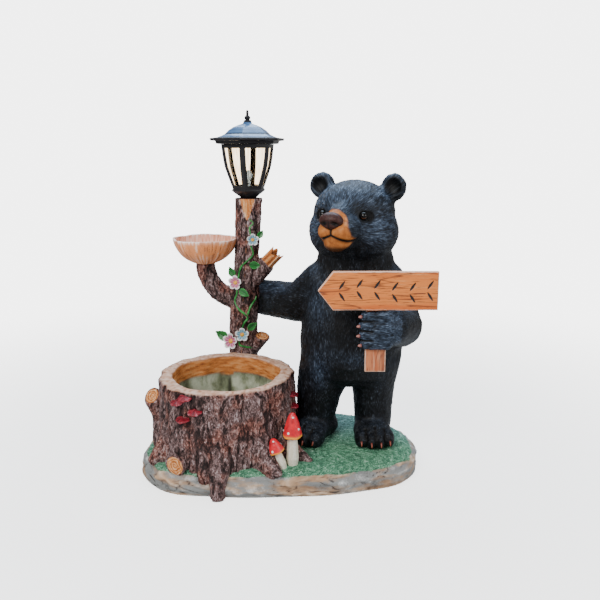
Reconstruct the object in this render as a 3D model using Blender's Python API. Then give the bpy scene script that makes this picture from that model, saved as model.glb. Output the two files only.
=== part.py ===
"""Garden statue of a black bear beside a tree stump planter, a feeder bowl and a lantern on a trunk.

Every piece is a painted casting or a lantern moulding. Units are metres, +Z is up, the front faces -Y and the
origin is the middle of the base's underside.
"""

import math

import bmesh
import bpy
from mathutils import Euler, Matrix, Vector

# Clearance kept between pieces that touch
GAP = 0.0003

# Base slab: a rock edge with turf on top
BASE_LENGTH = 0.634
BASE_DEPTH = 0.416
TURF_HEIGHT = 0.052
ROCK_EDGE_HEIGHT = 0.043
TURF_SHOULDER = 0.045
ROCK_LEDGE = 0.003
TURF_INSET = 0.017
TURF_LIP = 0.0012
BASE_STEPS = 36

# Stump planter
STUMP_X = -0.123
STUMP_Y = -0.024
STUMP_RADIUS = 0.150
STUMP_RIM_HEIGHT = 0.218
STUMP_WALL = 0.027
STUMP_FLOOR = 0.014
STUMP_BARK = 0.0028
CAVITY_TAPER = 0.008
CAVITY_WAVE = 0.0022
RIM_ROUND = 0.004
ROOT_RISE = 0.032
ROOT_FLUTE = 0.008
ROOT_LIFT = 0.001
STUMP_STEP = 10.0
LIMB_STUB_RADIUS = 0.0195
CUT_ROOT_RADIUS = 0.0200

# Tree trunk behind the stump
TRUNK_X = -0.085
TRUNK_Y = 0.150
TRUNK_TOP_HEIGHT = 0.597
TRUNK_RADIUS = 0.030
TRUNK_BARK = 0.0018
TRUNK_STEPS = 16
BRANCH_RADIUS = 0.023
BRANCH_DROP = 0.096
SNAG_RADIUS = 0.022
SNAG_LENGTH = 0.078
STUB_RADIUS = 0.018
STUB_LENGTH = 0.0715
BARE_WOOD_DEPTH = 0.0025

# Feeder bowl on the branch
BOWL_RADIUS = 0.080
BOWL_DEPTH = 0.064
BOWL_WALL = 0.0065
BOWL_X = -0.187
BOWL_Y = 0.152
BOWL_RIM_HEIGHT = 0.500
BOWL_STEPS = 21

# Bear, modelled as shares of its height
BEAR_HEIGHT = 0.610
BEAR_X = 0.163
BEAR_Y = 0.0
HEAD_TURN = -23.0
BEAR_UNITS_TALL = 61

# Arrow sign in the bear's paw
SIGN_LENGTH = 0.240
SIGN_HEIGHT = 0.078
SIGN_THICKNESS = 0.014
SIGN_TIP = 0.030
SIGN_X = 0.081
SIGN_Y = -0.153
SIGN_BOTTOM = 0.3975
STAKE_WIDTH = 0.042
STAKE_THICKNESS = 0.013
STAKE_X = 0.200
STAKE_BOTTOM = 0.263
STAKE_OVERLAP = 0.003
STROKE_DEPTH = 0.0012
STROKE_PAIRS = 6

# Toadstools
TALL_TOADSTOOL = 0.120
SHORT_TOADSTOOL = 0.070
CAP_RADIUS_TALL = 0.0205
CAP_RADIUS_SHORT = 0.0165
TALL_TOADSTOOL_X = 0.029
TALL_TOADSTOOL_Y = -0.145
SHORT_TOADSTOOL_X = 0.008
SHORT_TOADSTOOL_Y = -0.158
TOADSTOOL_SINK = 0.010

# Bracket fungi on the stump
BRACKET_RADIUS = 0.0155
BRACKET_THICKNESS = 0.009

# Vine, leaves and flowers on the trunk
VINE_RADIUS = 0.0024
LEAF_THICKNESS = 0.0022
PETAL_THICKNESS = 0.0024
PETALS = 5

# Lantern on the trunk's top
LANTERN_HEIGHT = 0.203
EAVE_RADIUS = 0.0925
CAGE_TOP_RADIUS = 0.0655
CAGE_FOOT_RADIUS = 0.039
CAGE_BELLY = 0.0025
LANTERN_WALL = 0.003
RIB_WIDTH = 0.016
GLAZING_WALL = 0.0016
GLAZING_CLEARANCE = 0.0004
LANTERN_TURN = -8.0
LAMP_RADIUS = 0.006
FINIAL_RADIUS = 0.0055


def clear_objects():
    for thing in list(bpy.data.objects):
        bpy.data.objects.remove(thing, do_unlink=True)


def finish(name, colour, roughness, metallic=0.0):
    """A paint or plastic finish with this colour, roughness and metallic value."""
    made = bpy.data.materials.new(name)
    made.use_nodes = True
    shader = made.node_tree.nodes["Principled BSDF"]
    shader.inputs["Base Color"].default_value = (*colour, 1.0)
    shader.inputs["Roughness"].default_value = roughness
    shader.inputs["Metallic"].default_value = metallic
    made.diffuse_color = (*colour, 1.0)
    return made


def make_object(name, mesh_builder, material=None, parent=None, flat=False):
    """One named object from a bmesh, smooth except at its sharp edges, or with flat faces."""
    mesh = bpy.data.meshes.new(name)
    mesh_builder.to_mesh(mesh)
    mesh_builder.free()
    if not flat:
        mesh.shade_smooth()
        mesh.set_sharp_from_angle(angle=math.radians(40))
    thing = bpy.data.objects.new(name, mesh)
    bpy.context.scene.collection.objects.link(thing)
    if material:
        mesh.materials.append(material)
    thing.parent = parent
    return thing


def hide_as_cutter(thing):
    thing.hide_render = True
    thing.display_type = "WIRE"
    return thing


def boolean(thing, operation, other):
    step = thing.modifiers.new(operation.title(), "BOOLEAN")
    step.operation = operation
    step.solver = "EXACT"
    step.object = other
    return step


def cut(thing, *cutters):
    for other in cutters:
        boolean(thing, "DIFFERENCE", hide_as_cutter(other))


def join(thing, *others):
    for other in others:
        boolean(thing, "UNION", hide_as_cutter(other))


def loft(rings, top_cap=True, bottom_cap=True, loop=False):
    """A closed skin of triangles through rings of points, counterclockwise seen from where the rings lead."""
    bm = bmesh.new()
    loops = [[bm.verts.new(point) for point in ring] for ring in rings]
    pairs = list(zip(loops, loops[1:]))
    if loop:
        pairs.append((loops[-1], loops[0]))
    for low, high in pairs:
        count = len(low)
        for i in range(count):
            after = (i + 1) % count
            bm.faces.new((low[i], low[after], high[after]))
            bm.faces.new((low[i], high[after], high[i]))
    if not loop and bottom_cap:
        fan(bm, list(reversed(loops[0])))
    if not loop and top_cap:
        fan(bm, loops[-1])
    return bm


def fan(bm, verts):
    """Closes a ring of verts with triangles to its middle."""
    middle = bm.verts.new(sum((v.co for v in verts), Vector()) / len(verts))
    for first, second in zip(verts, verts[1:] + verts[:1]):
        bm.faces.new((first, second, middle))


def round_ring(radius, height, steps, turn=0.0):
    angles = [turn + math.tau * i / steps for i in range(steps)]
    return [Vector((radius * math.cos(angle), radius * math.sin(angle), height)) for angle in angles]


def turned(profile, steps, turn=0.0):
    """A solid turned about the upright axis from (radius, height) pairs that run up its outside."""
    return loft([round_ring(radius, height, steps, turn=turn) for radius, height in profile])


def tube_rings(path, radii, steps, relief=None):
    """Rings square to a path, each with its own radius; relief(angle, share) adds to it."""
    points = [Vector(p) for p in path]
    rings = []
    side = Vector((0, 1, 0))
    for i, (point, radius) in enumerate(zip(points, radii)):
        ahead = points[min(i + 1, len(points) - 1)] - points[max(i - 1, 0)]
        ahead.normalize()
        side = (side - ahead * side.dot(ahead)).normalized()
        other = ahead.cross(side)
        ring = []
        for k in range(steps):
            angle = math.tau * k / steps
            extra = relief(angle, i / (len(points) - 1)) if relief else 0.0
            ring.append(point + (side * math.cos(angle) + other * math.sin(angle)) * (radius + extra))
        rings.append(ring)
    return rings


def on_span(a, b, c, d, t):
    """The point at share t of the way from b to c on the smooth curve through a, b, c and d."""
    bend = 2 * a - 5 * b + 4 * c - d
    twist = 3 * b - a - 3 * c + d
    return (2 * b + (c - a) * t + bend * t**2 + twist * t**3) / 2


def smooth_path(points, parts):
    """Points on a smooth curve through these points, parts to each span."""
    knots = [Vector(p) for p in points]
    ends = [knots[0] * 2 - knots[1], *knots, knots[-1] * 2 - knots[-2]]
    path = []
    for i in range(len(knots) - 1):
        a, b, c, d = ends[i : i + 4]
        for k in range(parts):
            t = k / parts
            path.append(on_span(a, b, c, d, t))
    path.append(knots[-1])
    return path


def smooth_values(pairs, at):
    """The value at a place, eased between (place, value) pairs in rising order."""
    if at <= pairs[0][0]:
        return pairs[0][1]
    for (low, first), (high, second) in zip(pairs, pairs[1:]):
        if at <= high:
            t = (at - low) / (high - low)
            return first + (second - first) * t * t * (3 - 2 * t)
    return pairs[-1][1]


# Base slab

# The slab's outline as shares of its length and depth, counterclockwise from the left end
BASE_OUTLINE = [
    (-0.498, -0.145), (-0.452, -0.33), (-0.360, -0.446), (-0.20, -0.487), (-0.04, -0.482), (0.12, -0.470),
    (0.27, -0.436), (0.395, -0.365), (0.475, -0.24), (0.498, -0.07), (0.472, 0.115), (0.395, 0.27),
    (0.25, 0.385), (0.08, 0.475), (-0.09, 0.515), (-0.25, 0.495), (-0.385, 0.38), (-0.475, 0.12),
]
# Rock rings going up: inset from the outline in ledges and share of the height to the rock's top edge
ROCK_PROFILE = [(2.0, 0.0), (0.0, 0.28), (0.7, 0.66), (3.0, 0.93)]


def base_outline_point(share):
    """A point on the closed outline and its outward direction, share of the way round."""
    count = len(BASE_OUTLINE)
    scaled = [Vector((x * BASE_LENGTH, y * BASE_DEPTH)) for x, y in BASE_OUTLINE]
    place = (share % 1.0) * count
    i = int(place) % count
    t = place - int(place)
    a, b, c, d = (scaled[(i + k) % count] for k in (-1, 0, 1, 2))
    point = on_span(a, b, c, d, t)
    along = ((c - a) + (2 * a - 5 * b + 4 * c - d) * 2 * t + (3 * b - a - 3 * c + d) * 3 * t * t) / 2
    out = Vector((along.y, -along.x)).normalized()
    return point, out


def rock_relief(share, level):
    """Ledges and hollows of the rock edge, in metres outward."""
    broad = math.sin(math.tau * 5 * share + 1.6 * level)
    narrow = math.sin(math.tau * 11 * share - 1.1 * level)
    return ROCK_LEDGE * (0.6 * broad + 0.4 * narrow)


def base_rings(grow=0.0, floor=0.0):
    rings = []
    for level, (inset, height_share) in enumerate(ROCK_PROFILE):
        height = ROCK_EDGE_HEIGHT * height_share
        rings.append(base_ring(inset * ROCK_LEDGE - grow, height if level else floor, level))
    top = len(ROCK_PROFILE)
    rings.append(base_ring(TURF_INSET - grow, ROCK_EDGE_HEIGHT + grow, top))
    rings.append(base_ring(TURF_INSET + TURF_LIP - grow, ROCK_EDGE_HEIGHT + TURF_LIP + grow, top))
    rings.append(base_ring(TURF_SHOULDER - grow, TURF_HEIGHT + grow, top))
    return rings


def base_ring(inset, height, level):
    ring = []
    for i in range(BASE_STEPS):
        point, out = base_outline_point(i / BASE_STEPS)
        place = point - out * (inset - rock_relief(i / BASE_STEPS, level))
        ring.append(Vector((place.x, place.y, height)))
    return ring


def make_base(parent):
    paint = finish("rock and turf", (0.30, 0.31, 0.27), 0.85)
    return make_object("rock_base", loft(base_rings()), paint, parent)


def ground_cutter():
    """The base grown by the clearance and carried down, which cuts what stands on it."""
    depth_below = 0.05
    return hide_as_cutter(make_object("ground_cutter", loft(base_rings(GAP, -depth_below))))


# Stump planter

# Roots: direction in degrees, reach from the stump's middle, half width in degrees, and whether it
# runs down the rock
ROOTS = [
    (12, 0.188, 7.0, False), (50, 0.176, 7.0, False), (150, 0.190, 8.0, False), (213, 0.186, 5.5, False),
    (259, 0.178, 5.5, False), (270, 0.191, 6.5, True), (306, 0.208, 6.5, False), (331, 0.216, 5.0, False),
]
# Shares of the height from the turf to the rim
STUMP_LEVELS = [0.0, 0.06, 0.15, 0.30, 0.58, 0.97]


def stump_angles():
    """Directions of the stump's corners, closer together over the roots."""
    marks = sorted(root[0] + root[2] * step for root in ROOTS for step in (-1.5, -0.45, 0.45, 1.5))
    filled = []
    for here, there in zip(marks, [*marks[1:], marks[0] + 360]):
        parts = max(1, round((there - here) / STUMP_STEP))
        filled += [here + (there - here) * k / parts for k in range(parts)]
    return [math.radians(degrees) for degrees in filled]


def stump_bark(angle, height):
    """Upright bark ridges, from -1 to 1."""
    drift = 0.35 * math.sin(9 * height / STUMP_RIM_HEIGHT)
    return 0.6 * math.sin(13 * angle + 3 * drift) + 0.4 * math.sin(21 * angle - 4 * drift + 1.0)


def stump_radius(angle, height):
    """Distance of the bark from the stump's middle."""
    share = min(max(height / STUMP_RIM_HEIGHT, 0.0), 1.0)
    lobes = 0.018 * math.sin(2 * angle + 0.6) + 0.014 * math.sin(3 * angle + 1.9)
    lobes += 0.012 * math.sin(5 * angle)
    radius = STUMP_RADIUS * (0.985 + lobes) + STUMP_BARK * stump_bark(angle, height)
    radius += STUMP_RADIUS * 0.085 * (1 - share) ** 1.6
    above_turf = max(height - TURF_HEIGHT, 0.0)
    above_swell = math.exp(-((above_turf / ROOT_RISE) ** 1.2))
    below_swell = min(height / TURF_HEIGHT, 1.0)
    root = 0.0
    flute = 0.0
    for direction, reach, half_width, over_edge in ROOTS:
        off = (angle - math.radians(direction) + math.pi) % math.tau - math.pi
        lobe = math.exp(-(abs(off / math.radians(half_width)) ** 3))
        swell = above_swell if over_edge else above_swell * below_swell
        root = max(root, (reach - radius) * lobe * swell)
        flute = max(flute, math.exp(-((off / math.radians(1.5 * half_width)) ** 2)))
    return radius + root + ROOT_FLUTE * flute * (1 - share)


def stump_ring(inset, height):
    middle = Vector((STUMP_X, STUMP_Y, height))
    ring = []
    for angle in stump_angles():
        radius = stump_radius(angle, height) - inset
        ring.append(middle + Vector((radius * math.cos(angle), radius * math.sin(angle), 0)))
    return ring


def cavity_ring(height, extra=0.0):
    """A ring of the planter's inside wall."""
    middle = Vector((STUMP_X, STUMP_Y, height))
    ring = []
    for angle in stump_angles():
        wobble = CAVITY_WAVE * (math.sin(5 * angle + 0.4) + 0.73 * math.sin(8 * angle))
        radius = STUMP_RADIUS * 0.985 - STUMP_WALL - extra + wobble
        ring.append(middle + Vector((radius * math.cos(angle), radius * math.sin(angle), 0)))
    return ring


def stump_outer_rings(grow=0.0):
    heights = [ROOT_LIFT, 0.5 * TURF_HEIGHT]
    heights += [TURF_HEIGHT + share * (STUMP_RIM_HEIGHT - TURF_HEIGHT) for share in STUMP_LEVELS]
    rings = [stump_ring(-grow, height) for height in heights]
    rings.append(stump_ring(RIM_ROUND - grow, STUMP_RIM_HEIGHT + grow))
    return rings


# The cut limb and the cut root: direction in degrees, share of the rim's height, inset from the bark and
# radius, both as shares of the limb's radius
LIMB_STUB = [(196, 0.10, 0.60, 1.0), (189, 0.30, 0.27, 1.05), (186, 0.55, 0.28, 1.05), (187, 0.77, -0.62, 1.0)]
CUT_ROOT = [(234, 0.50, 0.95, 0.75), (233, 0.285, 0.15, 1.05), (237, 0.262, -1.20, 1.0)]


def stump_limb(name, route, radius):
    path = [stump_point(degrees, share, inset * radius) for degrees, share, inset, _ in route]
    return limb_tube(name, path, [radius * share for _, _, _, share in route])


def make_stump(parent, ground):
    bark = finish("stump bark", (0.085, 0.055, 0.048), 0.8)
    floor_height = TURF_HEIGHT + STUMP_FLOOR
    rings = stump_outer_rings()
    rings.append(cavity_ring(STUMP_RIM_HEIGHT))
    for share in (0.72, 0.0):
        height = floor_height + share * (STUMP_RIM_HEIGHT - floor_height)
        rings.append(cavity_ring(height, extra=CAVITY_TAPER * (1 - share)))
    stump = make_object("stump_planter", loft(rings), bark, parent)
    limb = stump_limb("limb_stub_form", LIMB_STUB, LIMB_STUB_RADIUS)
    cut_root = stump_limb("cut_root_form", CUT_ROOT, CUT_ROOT_RADIUS)
    join(stump, limb, cut_root)
    cut(stump, ground)
    return stump


def stump_point(degrees, share, inset):
    """A point inset from the bark, at a share of the rim's height."""
    angle = math.radians(degrees)
    height = share * STUMP_RIM_HEIGHT
    radius = STUMP_RADIUS * 1.03 - inset
    return Vector((STUMP_X + radius * math.cos(angle), STUMP_Y + radius * math.sin(angle), height))


def limb_tube(name, path, radii, steps=12, relief=None):
    return hide_as_cutter(make_object(name, loft(tube_rings(path, radii, steps, relief))))


def stump_cutter():
    """The stump's outside with no hollow, grown by the clearance."""
    return hide_as_cutter(make_object("stump_cutter", loft(stump_outer_rings(GAP))))


# Tree trunk with its branch, broken snag and cut stub

# Height share, then sideways shift, backward shift and radius as shares of the trunk's radius
TRUNK_LINE = [
    (0.00, -0.43, 0.13, 1.55), (0.16, -0.43, 0.10, 1.38), (0.30, -0.43, 0.07, 1.16),
    (0.42, -0.43, 0.03, 1.10), (0.50, -0.37, 0.00, 1.14), (0.58, -0.23, 0.00, 1.16),
    (0.66, -0.10, 0.00, 1.06), (0.74, 0.00, 0.00, 0.97), (0.84, 0.10, 0.00, 0.95),
    (0.93, 0.20, 0.00, 1.00), (1.00, 0.23, 0.00, 1.03),
]
TRUNK_ROWS = 10


def trunk_middle(height):
    share = height / TRUNK_TOP_HEIGHT
    x = smooth_values([(row[0], row[1]) for row in TRUNK_LINE], share)
    y = smooth_values([(row[0], row[2]) for row in TRUNK_LINE], share)
    return Vector((TRUNK_X + TRUNK_RADIUS * x, TRUNK_Y + TRUNK_RADIUS * y, height))


def trunk_radius(angle, height):
    share = height / TRUNK_TOP_HEIGHT
    radius = TRUNK_RADIUS * smooth_values([(row[0], row[3]) for row in TRUNK_LINE], share)
    ridges = 0.6 * math.sin(7 * angle + 5 * share) + 0.4 * math.sin(10 * angle - 7 * share)
    return radius + TRUNK_BARK * ridges


def trunk_rings(grow=0.0):
    rings = []
    for row in range(TRUNK_ROWS + 1):
        height = TRUNK_TOP_HEIGHT * row / TRUNK_ROWS
        middle = trunk_middle(height)
        lift = grow if row == TRUNK_ROWS else 0.0
        ring = []
        for i in range(TRUNK_STEPS):
            angle = math.tau * i / TRUNK_STEPS
            radius = trunk_radius(angle, height) + grow
            ring.append(middle + Vector((radius * math.cos(angle), radius * math.sin(angle), lift)))
        rings.append(ring)
    return rings


def on_trunk(height, degrees, out=0.0):
    """A point on the bark and its outward direction; 0 degrees faces the front, positive turns right."""
    turn = math.radians(degrees)
    angle = turn - math.pi / 2
    direction = Vector((math.cos(angle), math.sin(angle), 0))
    return trunk_middle(height) + direction * (trunk_radius(angle, height) + out), direction


def branch_path():
    """Out of the trunk, round under the bowl and up into its foot."""
    foot = Vector((BOWL_X, BOWL_Y, BOWL_RIM_HEIGHT - BOWL_DEPTH))
    bends = [(0.417, -0.77), (0.135, -0.48), (0.01, -0.156), (0.0, 0.125)]
    start = trunk_middle(foot.z - BRANCH_DROP) + Vector((-0.04, 0.04, 0)) * BRANCH_DROP
    return smooth_path([start, *[foot + Vector((x, 0, z)) * BRANCH_DROP for x, z in bends]], 2)


def snag_path():
    foot = trunk_middle(0.645 * TRUNK_TOP_HEIGHT)
    ways = [(0.33, -0.064, 0.33), (0.69, -0.128, 0.715)]
    return [foot, *[foot + SNAG_LENGTH * Vector(way) for way in ways]]


def stub_path():
    foot = trunk_middle(0.34 * TRUNK_TOP_HEIGHT)
    ways = [(0.31, -0.07, 0.31), (0.67, -0.14, 0.73)]
    return [foot, *[foot + STUB_LENGTH * Vector(way) for way in ways]]


def tree_limb(name, path, radius, taper, grow=0.0):
    """A branch whose radius falls to taper times its foot's."""
    last = len(path) - 1
    radii = [radius * (1.06 + (taper - 1.06) * i / last) + grow for i in range(last + 1)]
    stretched = [Vector(p) for p in path]
    stretched[-1] += (stretched[-1] - stretched[-2]).normalized() * grow
    return limb_tube(name, stretched, radii, 11)


def broken_wood():
    """The splintered raw end of the snag, thinner than its bark, with an uneven top."""
    foot, _, mouth = snag_path()
    along = (mouth - foot).normalized()
    path = [mouth + along * SNAG_RADIUS * share for share in (-0.55, 0.73, 1.55)]
    rings = tube_rings(path, [SNAG_RADIUS * share for share in (0.82, 0.78, 0.75)], 9)
    for i, point in enumerate(rings[-1]):
        point += along * (0.36 * SNAG_RADIUS * math.sin(2.3 * i + 0.5))
    return hide_as_cutter(make_object("broken_wood_form", loft(rings)))


def bare_wood_notch():
    """A shallow wedge in the bark below the trunk's top, point down."""
    face, out = on_trunk(0.965 * TRUNK_TOP_HEIGHT, -4)
    half_width, drop, rise = (TRUNK_RADIUS * share for share in (0.7, 1.2, 1.0))
    outline = [Vector((-half_width, 0, rise)), Vector((0, 0, -drop)), Vector((half_width, 0, rise))]
    front = [face + point + out * TRUNK_RADIUS for point in outline]
    back = [face + point - out * BARE_WOOD_DEPTH for point in outline]
    return hide_as_cutter(make_object("bare_wood_cutter", loft([back, front])))


def make_trunk(parent, ground, stump_block, bowl_block):
    bark = finish("trunk bark", (0.10, 0.062, 0.052), 0.8)
    trunk = make_object("tree_trunk", loft(trunk_rings()), bark, parent)
    branch = tree_limb("branch_form", branch_path(), BRANCH_RADIUS, 0.97)
    cut(branch, bowl_block)
    snag = tree_limb("snag_form", snag_path(), SNAG_RADIUS, 0.93)
    stub = tree_limb("stub_form", stub_path(), STUB_RADIUS, 1.0)
    join(trunk, branch, snag, broken_wood(), stub)
    cut(trunk, bare_wood_notch(), ground, stump_block)
    return trunk


def tree_cutters():
    """The trunk and its limbs, grown by the clearance."""
    return [
        hide_as_cutter(make_object("trunk_cutter", loft(trunk_rings(GAP)))),
        tree_limb("branch_cutter", branch_path(), BRANCH_RADIUS, 0.97, GAP),
        tree_limb("snag_cutter", snag_path(), SNAG_RADIUS, 0.93, GAP),
        tree_limb("stub_cutter", stub_path(), STUB_RADIUS, 1.0, GAP),
    ]


# Feeder bowl


def bowl_radius(angle, radius):
    return radius * (1 + 0.018 * math.sin(3 * angle + 0.8) + 0.014 * math.sin(7 * angle))


def bowl_ring(radius, height):
    ring = []
    for i in range(BOWL_STEPS):
        angle = math.tau * i / BOWL_STEPS
        reach = bowl_radius(angle, radius)
        lift = 0.15 * BOWL_WALL * math.sin(4 * angle + 1.1) * (radius / BOWL_RADIUS) ** 6
        out = Vector((reach * math.cos(angle), reach * math.sin(angle), 0))
        ring.append(Vector((BOWL_X, BOWL_Y, height + lift)) + out)
    return ring


def bowl_outside(grow=0.0):
    foot = BOWL_RIM_HEIGHT - BOWL_DEPTH
    rings = []
    for share in (0.30, 0.58, 0.84, 1.0):
        height = foot + BOWL_DEPTH * (1 - math.sqrt(1 - (0.985 * share) ** 2)) / (1 - math.sqrt(1 - 0.985**2))
        rings.append(bowl_ring(BOWL_RADIUS * share + grow, height - grow * (1 - share)))
    return rings


def make_bowl(parent, trunk_block):
    wood = finish("bowl wood", (0.62, 0.33, 0.19), 0.6)
    rings = bowl_outside()
    rings.append(bowl_ring(BOWL_RADIUS - BOWL_WALL, BOWL_RIM_HEIGHT))
    inner_depth = BOWL_DEPTH - BOWL_WALL
    inner_radius = BOWL_RADIUS - BOWL_WALL
    for share in (0.84, 0.50):
        height = BOWL_RIM_HEIGHT - inner_depth * math.sqrt(1 - share**2)
        rings.append(bowl_ring(inner_radius * share, height))
    bowl = make_object("feeder_bowl", loft(rings), wood, parent)
    cut(bowl, trunk_block)
    return bowl


def bowl_cutter():
    return hide_as_cutter(make_object("bowl_cutter", loft(bowl_outside(GAP))))


# Bear


def unit(value):
    """A length given in 61sts of the bear's height."""
    return value * BEAR_HEIGHT / BEAR_UNITS_TALL


def add_ball(bm, centre, radii, place=Matrix.Identity(4), turn=(0, 0, 0), subdivisions=3):
    """A rounded mass: an ellipsoid at centre with these half sizes, in bear units."""
    size = Matrix.Diagonal([unit(r) for r in radii]).to_4x4()
    rotation = Euler([math.radians(a) for a in turn]).to_matrix().to_4x4()
    matrix = place @ Matrix.Translation([unit(c) for c in centre]) @ rotation @ size
    bmesh.ops.create_icosphere(bm, subdivisions=subdivisions, radius=1.0, matrix=matrix)


def add_limb(bm, points, radii, place=Matrix.Identity(4)):
    """Rounded lengths of limb between points, each the hull of its two end balls."""
    for (start, first), (end, second) in zip(zip(points, radii), zip(points[1:], radii[1:])):
        length = bmesh.new()
        for centre, radius in ((start, first), (end, second)):
            matrix = place @ Matrix.Translation([unit(c) for c in centre])
            bmesh.ops.create_icosphere(length, subdivisions=2, radius=unit(radius), matrix=matrix)
        corners = [v.co.copy() for v in length.verts]
        length.clear()
        for corner in corners:
            length.verts.new(corner)
        hull = bmesh.ops.convex_hull(length, input=length.verts[:])
        inside = [v for v in hull["geom_interior"] if isinstance(v, bmesh.types.BMVert)]
        bmesh.ops.delete(length, geom=inside, context="VERTS")
        bmesh.ops.recalc_face_normals(length, faces=length.faces[:])
        mesh = bpy.data.meshes.new("limb_length")
        length.to_mesh(mesh)
        length.free()
        bm.from_mesh(mesh)
        bpy.data.meshes.remove(mesh)


# The torso going up: height, half width, half depth and the middle's shift back, in bear units
TORSO = [
    (13.2, 5.0, 4.6, 1.4), (14.2, 8.6, 7.0, 1.4), (16.5, 10.9, 8.7, 1.3),
    (20.0, 11.6, 9.7, 1.1), (23.5, 11.7, 10.1, 1.0), (27.0, 11.5, 9.9, 1.0),
    (31.0, 10.9, 9.3, 1.1), (35.0, 10.2, 8.5, 1.3), (38.5, 9.6, 7.8, 1.5),
    (41.5, 8.7, 7.3, 1.2), (44.5, 8.0, 7.0, 0.8), (48.0, 7.4, 6.8, 0.5),
]
NECK_SHIFT = 0.6


def bear_body(bm):
    rings = []
    steps = 40
    first, last = TORSO[0][0], TORSO[-1][0]
    for level in range(steps + 1):
        height = first + (last - first) * level / steps
        wide, deep, back = (smooth_values([(row[0], row[k]) for row in TORSO], height) for k in (1, 2, 3))
        ring = round_ring(1.0, unit(height), 48)
        shift = unit(smooth_values([(34.0, 0.0), (43.0, NECK_SHIFT)], height))
        rings.append([Vector((p.x * unit(wide) + shift, p.y * unit(deep) + unit(back), p.z)) for p in ring])
    torso = loft(rings)
    mesh = bpy.data.meshes.new("torso")
    torso.to_mesh(mesh)
    torso.free()
    bm.from_mesh(mesh)
    bpy.data.meshes.remove(mesh)
    add_ball(bm, (-0.4, 10.4, 16.5), (2.6, 2.2, 2.8))


def bear_legs(bm):
    near_leg = [(5.3, -0.4, 20.0), (5.1, 0.4, 16.0), (5.3, 0.8, 11.5), (5.4, 1.0, 4.0)]
    add_limb(bm, near_leg, [6.1, 5.6, 4.8, 4.35])
    tree_leg = [(-5.4, -0.2, 20.0), (-6.1, 0.6, 16.0), (-7.3, 1.1, 11.5), (-8.1, 1.6, 4.0)]
    add_limb(bm, tree_leg, [6.3, 6.1, 5.3, 4.5])
    for x, y, turn in ((5.0, -2.2, 2.0), (-9.0, -1.4, -28.0)):
        foot = Matrix.Translation((unit(x), unit(y), 0)) @ Matrix.Rotation(math.radians(turn), 4, "Z")
        add_ball(bm, (0, 0, 2.4), (4.35, 5.6, 3.2), foot)
        add_ball(bm, (0.4, 3.8, 2.4), (4.2, 3.8, 3.2), foot)
        for toe in range(4):
            across = toe - 1.5
            add_ball(bm, (2.15 * across, -4.3 + 0.45 * across**2, 1.9), (1.3, 2.8, 2.1), foot)


def bear_arms(bm):
    tree_arm = [(-6.2, 1.5, 36.4), (-12.0, 5.6, 31.0), (-20.3, 15.6, 29.9), (-24.2, 20.6, 29.8)]
    add_limb(bm, tree_arm, [5.4, 4.6, 4.45, 4.2])
    add_limb(bm, [(6.4, 0.8, 36.6), (10.5, -3.2, 27.8), (7.0, -11.9, 29.9)], [5.6, 4.9, 4.2])
    add_ball(bm, (5.3, -13.5, 30.0), (4.1, 3.2, 4.2))
    for finger in range(4):
        height = 33.0 - 2.02 * finger
        tip = 0.9 + 0.35 * abs(finger - 1.5)
        add_limb(bm, [(6.0, -15.1, height), (tip, -15.3, height)], [1.25, 1.05])
        add_limb(bm, [(-24.0, 22.6, height), (-28.0, 20.6, height)], [1.25, 1.05])


def head_place():
    """The head's own frame: turned toward the tree, its middle between the ears."""
    return Matrix.Translation((0, 0, unit(51.3))) @ Matrix.Rotation(math.radians(HEAD_TURN), 4, "Z")


def bear_head(bm):
    head = head_place()
    add_ball(bm, (0, 0.3, 1.0), (9.0, 8.7, 7.3), head)
    add_ball(bm, (0, -0.1, -2.8), (10.0, 8.9, 7.6), head)
    add_limb(bm, [(0, -5.4, 2.0), (-0.4, -11.2, 0.2)], [3.1, 2.0], head)
    add_ball(bm, (-0.25, -8.6, -1.8), (4.9, 5.0, 3.8), head)
    for side in (-1, 1):
        add_ball(bm, (-0.4 + 1.9 * side, -10.9, -1.7), (2.7, 3.0, 2.3), head)
        add_ball(bm, (8.2 * side, 2.2, 6.7), (3.0, 1.6, 3.1), head, (0, 14 * side, -10 * side))
    add_ball(bm, (-0.25, -9.2, -4.6), (3.6, 3.9, 2.0), head)


def bear_nose_and_eyes():
    bm = bmesh.new()
    head = head_place()
    add_ball(bm, (-0.5, -13.2, 0.6), (2.2, 1.5, 1.6), head, subdivisions=2)
    for side in (-1, 1):
        add_ball(bm, (4.55 * side, -7.0, 1.25), (0.95, 0.9, 0.85), head, subdivisions=1)
    return make_object("nose_and_eyes_form", bm)


def ear_hollows():
    """Round bites that cup the front of each ear."""
    bm = bmesh.new()
    head = head_place()
    for side in (-1, 1):
        add_ball(bm, (8.35 * side, 0.3, 6.95), (2.0, 1.4, 2.1), head)
    return hide_as_cutter(make_object("ear_hollow_cutter", bm))


def make_bear(parent, ground, wood_blocks, stake_block):
    coat = finish("bear coat", (0.018, 0.020, 0.024), 0.5)
    bm = bmesh.new()
    bear_body(bm)
    bear_legs(bm)
    bear_arms(bm)
    bear_head(bm)
    bear = make_object("bear", bm, coat, parent)
    bear.location = (BEAR_X, BEAR_Y, TURF_HEIGHT)
    skin = bear.modifiers.new("Skin", "REMESH")
    skin.mode = "VOXEL"
    skin.voxel_size = unit(0.42)
    soften = bear.modifiers.new("Soften", "SMOOTH")
    soften.factor = 0.5
    soften.iterations = 6
    hollows = ear_hollows()
    face = bear_nose_and_eyes()
    for form in (hollows, face):
        form.location = bear.location
    cut(bear, hollows)
    thin = bear.modifiers.new("Thin", "DECIMATE")
    thin.ratio = 0.0245
    join(bear, face)
    cut(bear, ground, *wood_blocks, stake_block)
    return bear


# Arrow sign


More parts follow.
